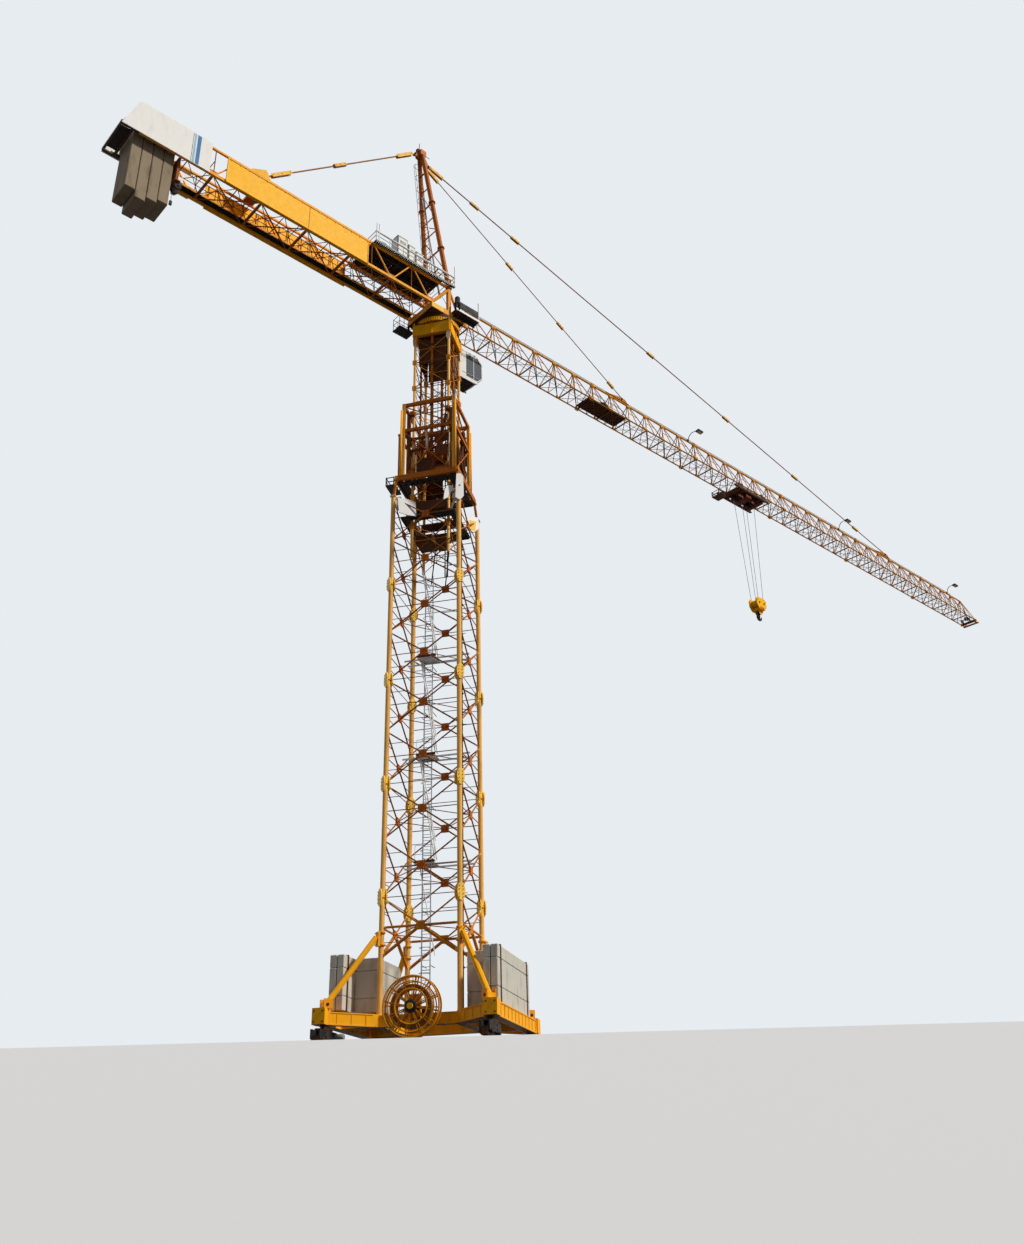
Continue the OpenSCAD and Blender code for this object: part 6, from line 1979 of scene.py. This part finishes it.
@dataclass
class BaseDetails(Assembly):
    """Stiffeners, bolts, drives and the courses of the ballast.

    Attributes:
        palette: the finishes.
        half: distance of the side beams from the mast's axis.
        beam: height of the beams' underside.
        depth: height of the beams.
    """

    palette: Palette
    half: float = 0.388
    beam: float = 0.090
    depth: float = 0.062

    def chassis(self) -> None:
        """Flange edges, web stiffeners, gussets and bolts of the side beams, inner beams and corner arms."""
        shape = Shape("chassis_trim", MAST)
        top, low = self.beam + self.depth, self.beam
        mid = (low + top) / 2
        ribs = spread(-0.33, 0.33, 0.066)
        for side in (-1, 1):
            for face in (-1, 1):
                x = side * self.half + face * 0.0235
                for z in (low + 0.003, top - 0.003):
                    shape.boxes((x, 0, z), (0.005, 0.70, 0.006), 2)
                shape.boxes(rows(x, ribs, mid), (0.004, 0.004, self.depth - 0.012), 0)
            # flanges of the inner beams, and gussets where they meet the side beams
            for face in (-1, 1):
                shape.boxes(rows(0, side * 0.190 + face * 0.0205, np.array([low + 0.002, top - 0.015])), (0.35, 0.004, 0.005), 2)
                shape.boxes(rows(side * 0.190 + face * 0.0205, 0, np.array([low + 0.002, top - 0.015])), (0.004, 0.33, 0.005), 2)
                shape.boxes(rows(face * 0.1, side * 0.190 + np.array([-0.0205, 0.0205]), mid - 0.006), (0.004, 0.004, 0.038), 0)
                shape.boxes(rows(face * 0.29, side * 0.190, top - 0.012), (0.16, 0.046, 0.003), 0)
        for turn in range(4):
            at = turn_z(turn * math.pi / 2 + math.pi / 4)
            for face in (-1, 1):
                shape.boxes(rows(0.409, face * 0.0175, np.array([low + 0.003, top - 0.009])), (0.20, 0.004, 0.005), 2, at)
                shape.boxes(rows(spread(0.34, 0.48, 0.07), face * 0.0175, mid - 0.003), (0.004, 0.003, 0.044), 0, at)
            for dx in (-0.018, 0.018):
                points = rows(0.388 * math.sqrt(2) + 0.0, dx, np.array([top + 0.008]))
                shape.bars(points, points + (0, 0, 0.003), 0.008, 6, 1, at)
        for x in (-1, 1):
            for y in (-1, 1):
                points = rows(x * self.half + np.array([-0.020, 0.020])[:, None], y * (self.half + 0.030),
                              mid + 0.004 + np.array([-0.022, 0.022])[None])
                shape.bars(points, points + (0, y * 0.003, 0), 0.007, 6, 1)
        self.put(shape, Body.BASE, ("orange", "dark_steel", "bright_orange"), "orange_frame")

    def struts(self) -> None:
        """Pins and bolted collars of the corner struts."""
        shape = Shape("corner_strut_pins", MAST)
        for turn in range(4):
            at = turn_z(turn * math.pi / 2 + math.pi / 4)
            x = 0.374 * math.sqrt(2)
            shape.bars((x, -0.026, 0.176), (x, 0.026, 0.176), 0.014, 12, 1, at)
            for y in (-0.0215, 0.0215):
                shape.boxes((x - 0.004, y, 0.180), (0.044, 0.005, 0.040), 0, at)
            leg = 0.19 * math.sqrt(2) + 0.020
            points = rows(leg + 0.006, np.array([-0.010, 0.010])[:, None], 0.478 + np.array([-0.026, 0.026])[None])
            shape.bars(points, points + (0.003, 0, 0), 0.006, 6, 1, at)
            for z in (0.452, 0.508):
                shape.lathe([(0.013, -0.005), (0.018, -0.005), (0.018, 0.005), (0.013, 0.005)],
                            at @ place((0.19 * math.sqrt(2), 0, z)), 20, 0)
        self.put(shape, Body.BASE, ("orange", "dark_steel"), "orange_frame")

    def bogies(self) -> None:
        """Flanged wheels, axle caps, drive motors and rail guards."""
        shape = Shape("bogie_details", MAST)
        for x in (-1, 1):
            for y in (-1, 1):
                at = place((x * 0.376, y * 0.376, 0), (0, 1, 0))
                for s in (-1, 1):
                    wheel = at @ axle((s * 0.062, 0, 0.0235), (0, 1, 0))
                    shape.lathe([(0.004, -0.013), (0.0230, -0.013), (0.0234, -0.0125), (0.0234, -0.008), (0.0232, -0.0075),
                                 (0.0232, 0.0075), (0.0234, 0.008), (0.0234, 0.0125), (0.0230, 0.013), (0.004, 0.013)],
                                wheel, 36, 0)
                    for side in (-1, 1):
                        shape.lathe([(0.0005, 0.0), (0.011, 0.0), (0.010, 0.005), (0.0005, 0.006)],
                                    at @ axle((s * 0.062, side * 0.0235, 0.0235), (0, side, 0)), 20, 1)
                    shape.boxes((s * 0.094, 0, 0.020), (0.006, 0.03, 0.030), 1, at)
                points = rows(np.array([-0.03, 0.03])[:, None], -0.0235, np.array([0.036, 0.056])[None])
                shape.bars(points, points - (0, 0.0025, 0), 0.006, 6, 0, at)
                shape.boxes((0, 0, 0.071), (0.10, 0.044, 0.006), 1, at)
                if y < 0:
                    shape.lathe([(0.002, 0.0), (0.014, 0.0), (0.014, 0.04), (0.011, 0.046), (0.002, 0.046)],
                                at @ axle((0.062, x * 0.025, 0.045), (0, x, 0)), 20, 2)
        self.put(shape, Body.BASE, ("dark_steel", "brown", "grey_box"), "dark_steel")

    def ballast(self) -> None:
        """The ballast courses as worn concrete blocks with lifting loops, in place of the plain stacks."""
        courses = (0.064, 0.122, 0.058)
        for side, node in ((-1, "ballast_left"), (1, "ballast_right")):
            shape = Shape("ballast_courses_" + ("left" if side < 0 else "right"), MAST)
            z = 0.160
            for k, height in enumerate(courses):
                halves = ((0, 0.600),) if k == 1 else ((-0.15, 0.2985), (0.15, 0.2985))
                for offset in (-0.01775, 0.01775):
                    for y, length in halves:
                        shape.boxes((side * 0.360 + offset, y, z + height / 2), (0.0325, length, height - 0.0012), 0, None, 0.0025)
                shape.boxes((side * 0.269, 0, z + height / 2), (0.111, 0.320, height - 0.0012), 0, None, 0.0025)
                z += height
            for x, spots in ((0.360, (-0.20, -0.10, 0.10, 0.20)), (0.269, (-0.10, 0.10))):
                for y in spots:
                    shape.tube([(side * x, y - 0.010, z - 0.002), (side * x, y - 0.010, z + 0.006),
                                (side * x, y + 0.010, z + 0.006), (side * x, y + 0.010, z - 0.002)], 0.004, 6, 1)
            shape.boxes(rows(side * 0.360, np.array([-0.19, 0.19]), 0.156), (0.068, 0.036, 0.008), 1)
            shape.boxes(rows(side * 0.256, np.array([-0.12, 0.12]), 0.156), (0.160, 0.030, 0.008), 1)
            shape.boxes(rows(side * 0.190, np.array([-0.12, 0.12]), 0.146), (0.028, 0.030, 0.012), 1)
            # tie rods over the stack
            for y in (-0.25, 0.25):
                shape.boxes(rows(side * 0.360 + np.array([-0.0355, 0.0355]), y, 0.282), (0.003, 0.014, 0.244), 1)
                shape.boxes((side * 0.360, y, z + 0.0015), (0.074, 0.014, 0.003), 1)
            self.put(shape, Body.BASE, ("grey_concrete", "brown"), "grey_concrete", (node,))

    def build(self) -> None:
        """Makes every piece."""
        self.chassis()
        self.struts()
        self.bogies()
        self.ballast()


@dataclass
class CableReel(Assembly):
    """The power cable wound on its reel, the reel's spokes and collector box, and its drive on the chassis.

    Attributes:
        palette: the finishes.
        centre: middle of the reel in the mast's frame.
        outer: outer radius of the reel.
        inner: radius of the drum's ring.
    """

    palette: Palette
    centre: Point = (0.054, -0.456, 0.136)
    outer: float = 0.129
    inner: float = 0.0748

    def build(self) -> None:
        """Makes the pieces."""
        x, y, z = self.centre
        cable = Shape("cable_on_the_reel", MAST)
        angle = np.linspace(0, 2 * np.pi, 49)[:-1]
        for layer, shift in ((0, 0.0), (1, 0.0048)):
            radius = self.inner + 0.005 + layer * 0.0085
            for k in (-1, 0, 1)[: 3 - layer]:
                path = np.stack([x + radius * np.cos(angle), np.full(48, y + k * 0.0096 + shift), z + radius * np.sin(angle)],
                                axis=1)
                cable.tube(path, 0.0096, 8, 0, None, True)
        self.put(cable, Body.REEL, ("cable_brown",), "black_rubber")
        wheel = Shape("cable_reel_fittings", MAST)
        for side in (-1, 1):
            at = axle((x, y + side * 0.0175, z), (0, side, 0))
            for radius in (self.outer - 0.003, (self.outer + self.inner) / 2 + 0.002, self.inner - 0.002):
                wheel.lathe([(radius - 0.003, -0.001), (radius + 0.002, -0.001), (radius + 0.002, 0.0016), (radius - 0.003, 0.0016)],
                            at, 64, 0)
            wheel.lathe([(0.0078, 0.0), (0.028, 0.0), (0.028, 0.0018), (0.0078, 0.0018)], at, 32, 1)
            turn = np.radians(np.arange(12) * 30.0 + 26.0)
            c, s = np.cos(turn), np.sin(turn)
            wheel.bars(rows(x + 0.026 * c, y + side * 0.015, z + 0.026 * s),
                       rows(x + (self.outer - 0.006) * c, y + side * 0.015, z + (self.outer - 0.006) * s), 0.0032, 6, 0)
            bolts = rows(x + 0.022 * c[::2], y + side * 0.019, z + 0.022 * s[::2])
            wheel.bars(bolts, bolts + (0, side * 0.001, 0), 0.0045, 6, 1)
        self.put(wheel, Body.REEL, ("orange", "dark_steel"), "orange_frame")
        drive = Shape("reel_drive", MAST)
        head = y + 0.031
        drive.boxes((x - 0.004, head + 0.027, z + 0.034), (0.046, 0.030, 0.048), 1, None, 0.003)
        drive.lathe([(0.004, 0.0), (0.015, 0.0), (0.015, 0.040), (0.012, 0.046), (0.004, 0.046)],
                    axle((x + 0.010, head + 0.024, z - 0.008), (1, 0, 0)), 24, 0)
        bolts = rows(x + np.array([-0.024, 0.024])[:, None], y + 0.029, z - 0.016 + np.array([-0.026, 0.026])[None])
        drive.bars(bolts, bolts - (0, 0.003, 0), 0.007, 6, 0)
        self.put(drive, Body.BASE, ("dark_steel", "red_orange"), "dark_steel")


# Stage


@dataclass(frozen=True)
class Camera:
    """The photograph's view, from a fit of the mast's and jib's lattice nodes.

    Attributes:
        location: metres in the row frame.
        forward: viewing direction.
        right: right-hand direction before the roll.
        up: up direction before the roll.
        roll: turn about the view axis, degrees.
        focal_px: focal length in pixels of an image 1244 high.
    """

    location: Point = (-3.384, -4.277, -0.5225)
    forward: Point = (0.6080, 0.6581, 0.4442)
    right: Point = (0.7345, -0.6786, 0.0)
    up: Point = (-0.3014, -0.3263, 0.8959)
    roll: float = -1.5236
    focal_px: float = 1118.63

    def make(self) -> bpy.types.Object:
        """Creates the camera.

        Returns:
            The camera object, set as the scene's camera.
        """
        data = bpy.data.cameras.new("camera")
        data.sensor_fit = "VERTICAL"
        data.sensor_height = 24.0
        data.lens = self.focal_px * 24.0 / 1244.0
        data.clip_start, data.clip_end = 0.05, 200.0
        c, s = math.cos(math.radians(self.roll)), math.sin(math.radians(self.roll))
        right0, up0 = np.array(self.right), np.array(self.up)
        right, up = c * right0 + s * up0, -s * right0 + c * up0
        matrix = np.eye(4)
        matrix[:3, 0], matrix[:3, 1], matrix[:3, 2] = right, up, -np.array(self.forward)
        matrix[:3, 3] = self.location
        obj = bpy.data.objects.new("camera", data)
        obj.matrix_world = Matrix(matrix.tolist())
        bpy.context.scene.collection.objects.link(obj)
        bpy.context.scene.camera = obj
        return obj


@dataclass(frozen=True)
class Stage:
    """A plain pale terrace, a lower floor in front of it, and soft light."""

    color: Tuple[float, float, float] = (0.56, 0.56, 0.555)
    glow: float = 0.75
    front: float = 0.56
    drop: float = 0.9
    size: float = 40.0
    sun_strength: float = 3.6
    sky_strength: float = 0.25
    bounce: Tuple[float, float, float] = (0.07, 0.066, 0.06)

    def seen(self, nodes: bpy.types.Nodes, links: bpy.types.NodeLinks) -> bpy.types.NodeSocket:
        """One for the rays that show the backdrop: those of the camera, of gloss and of glass.

        Args:
            nodes: nodes of the material or world.
            links: its links.

        Returns:
            The socket with the value.
        """
        path = nodes.new("ShaderNodeLightPath")
        value = path.outputs["Is Camera Ray"]
        for name in ("Is Glossy Ray", "Is Transmission Ray"):
            larger = nodes.new("ShaderNodeMath")
            larger.operation = "MAXIMUM"
            links.new(value, larger.inputs[0])
            links.new(path.outputs[name], larger.inputs[1])
            value = larger.outputs[0]
        return value

    def floor_material(self, name: str, glow: float) -> bpy.types.Material:
        """A pale matt surface, which throws little light up.

        Args:
            name: name of the material.
            glow: how much it is lifted for the rays that show the backdrop.

        Returns:
            The material.
        """
        material = bpy.data.materials.new(name)
        material.use_nodes = True
        nodes, links = material.node_tree.nodes, material.node_tree.links
        shader = nodes["Principled BSDF"]
        shader.inputs["Roughness"].default_value = 0.9
        mix = nodes.new("ShaderNodeMix")
        mix.data_type = "RGBA"
        links.new(self.seen(nodes, links), mix.inputs["Factor"])
        mix.inputs["A"].default_value = (*self.bounce, 1)
        mix.inputs["B"].default_value = (*self.color, 1)
        links.new(mix.outputs["Result"], shader.inputs["Base Color"])
        lift = nodes.new("ShaderNodeMath")
        lift.operation = "MULTIPLY"
        lift.inputs[1].default_value = glow
        links.new(mix.inputs["Factor"].links[0].from_socket, lift.inputs[0])
        links.new(lift.outputs[0], shader.inputs["Emission Strength"])
        shader.inputs["Emission Color"].default_value = (*self.color, 1)
        return material

    def make(self) -> None:
        """Builds the stage, the world and the lamps."""
        world = bpy.data.worlds.new("studio")
        bpy.context.scene.world = world
        world.use_nodes = True
        nodes, links = world.node_tree.nodes, world.node_tree.links
        light = nodes["Background"]
        light.inputs["Color"].default_value = (0.86, 0.90, 1.0, 1)
        light.inputs["Strength"].default_value = self.sky_strength
        shown = nodes.new("ShaderNodeBackground")
        shown.inputs["Color"].default_value = (0.80, 0.84, 0.88, 1)
        shown.inputs["Strength"].default_value = 1.0
        mix = nodes.new("ShaderNodeMixShader")
        links.new(self.seen(nodes, links), mix.inputs["Fac"])
        links.new(light.outputs[0], mix.inputs[1])
        links.new(shown.outputs[0], mix.inputs[2])
        links.new(mix.outputs[0], nodes["World Output"].inputs["Surface"])
        # the camera stands below rail level, so the crane stands on a terrace whose edge faces the camera
        floor = Shape("floor", place((0, 0, 0), (0.7345, -0.6786, 0)))
        s = self.size
        floor.boxes((0, s / 2 - self.front, -self.drop / 2 - 0.001), (s, s, self.drop - 0.002))
        floor.boxes((0, 0, -self.drop - 0.05), (s * 1.5, s * 1.5, 0.1))
        # the terrace's edge stands in the shade, so it is lifted to the same pale tone
        floor.boxes((0, -self.front - 0.002, -self.drop / 2), (s, 0.004, self.drop), 1)
        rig.stage(floor.build([self.floor_material("pale floor", 0.0), self.floor_material("pale edge", self.glow)]))
        sun = bpy.data.lights.new("key", "SUN")
        sun.energy = self.sun_strength
        sun.angle = math.radians(6)
        sun.color = (1.0, 0.94, 0.86)
        lamp = bpy.data.objects.new("key", sun)
        towards = np.array((0.354, -0.612, 0.66))
        lamp.matrix_world = Matrix(place((0, 0, 8), tuple(np.cross((0, 0, 1), towards)), tuple(towards)).tolist())
        bpy.context.scene.collection.objects.link(lamp)
        # a weaker, very soft lamp from behind, so that the far sides read too
        back = bpy.data.lights.new("fill", "SUN")
        back.energy = 1.3
        back.angle = math.radians(35)
        back.color = (0.90, 0.94, 1.0)
        fill = bpy.data.objects.new("fill", back)
        behind = np.array((-0.10, 0.86, 0.50))
        fill.matrix_world = Matrix(place((0, 0, 8), tuple(np.cross((0, 0, 1), behind)), tuple(behind)).tolist())
        bpy.context.scene.collection.objects.link(fill)
        bpy.context.scene.view_settings.view_transform = "Standard"


SUB_ASSEMBLIES = (CounterJib, Deck, TowerTop, Cabin, RootPlatforms, Jib, Lamps, Ties, Trolley, Hoist, SlewingHead, Mast,
                  ClimbingGear, BaseDetails, CableReel)


def main() -> None:
    """Dresses the crane and sets the stage."""
    palette = Palette()
    dress_nodes(palette)
    for kind in SUB_ASSEMBLIES:
        kind(palette).build()
    Camera().make()
    Stage().make()


if __name__ == "__main__":
    main()
    write_size("visual", *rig.bounds())
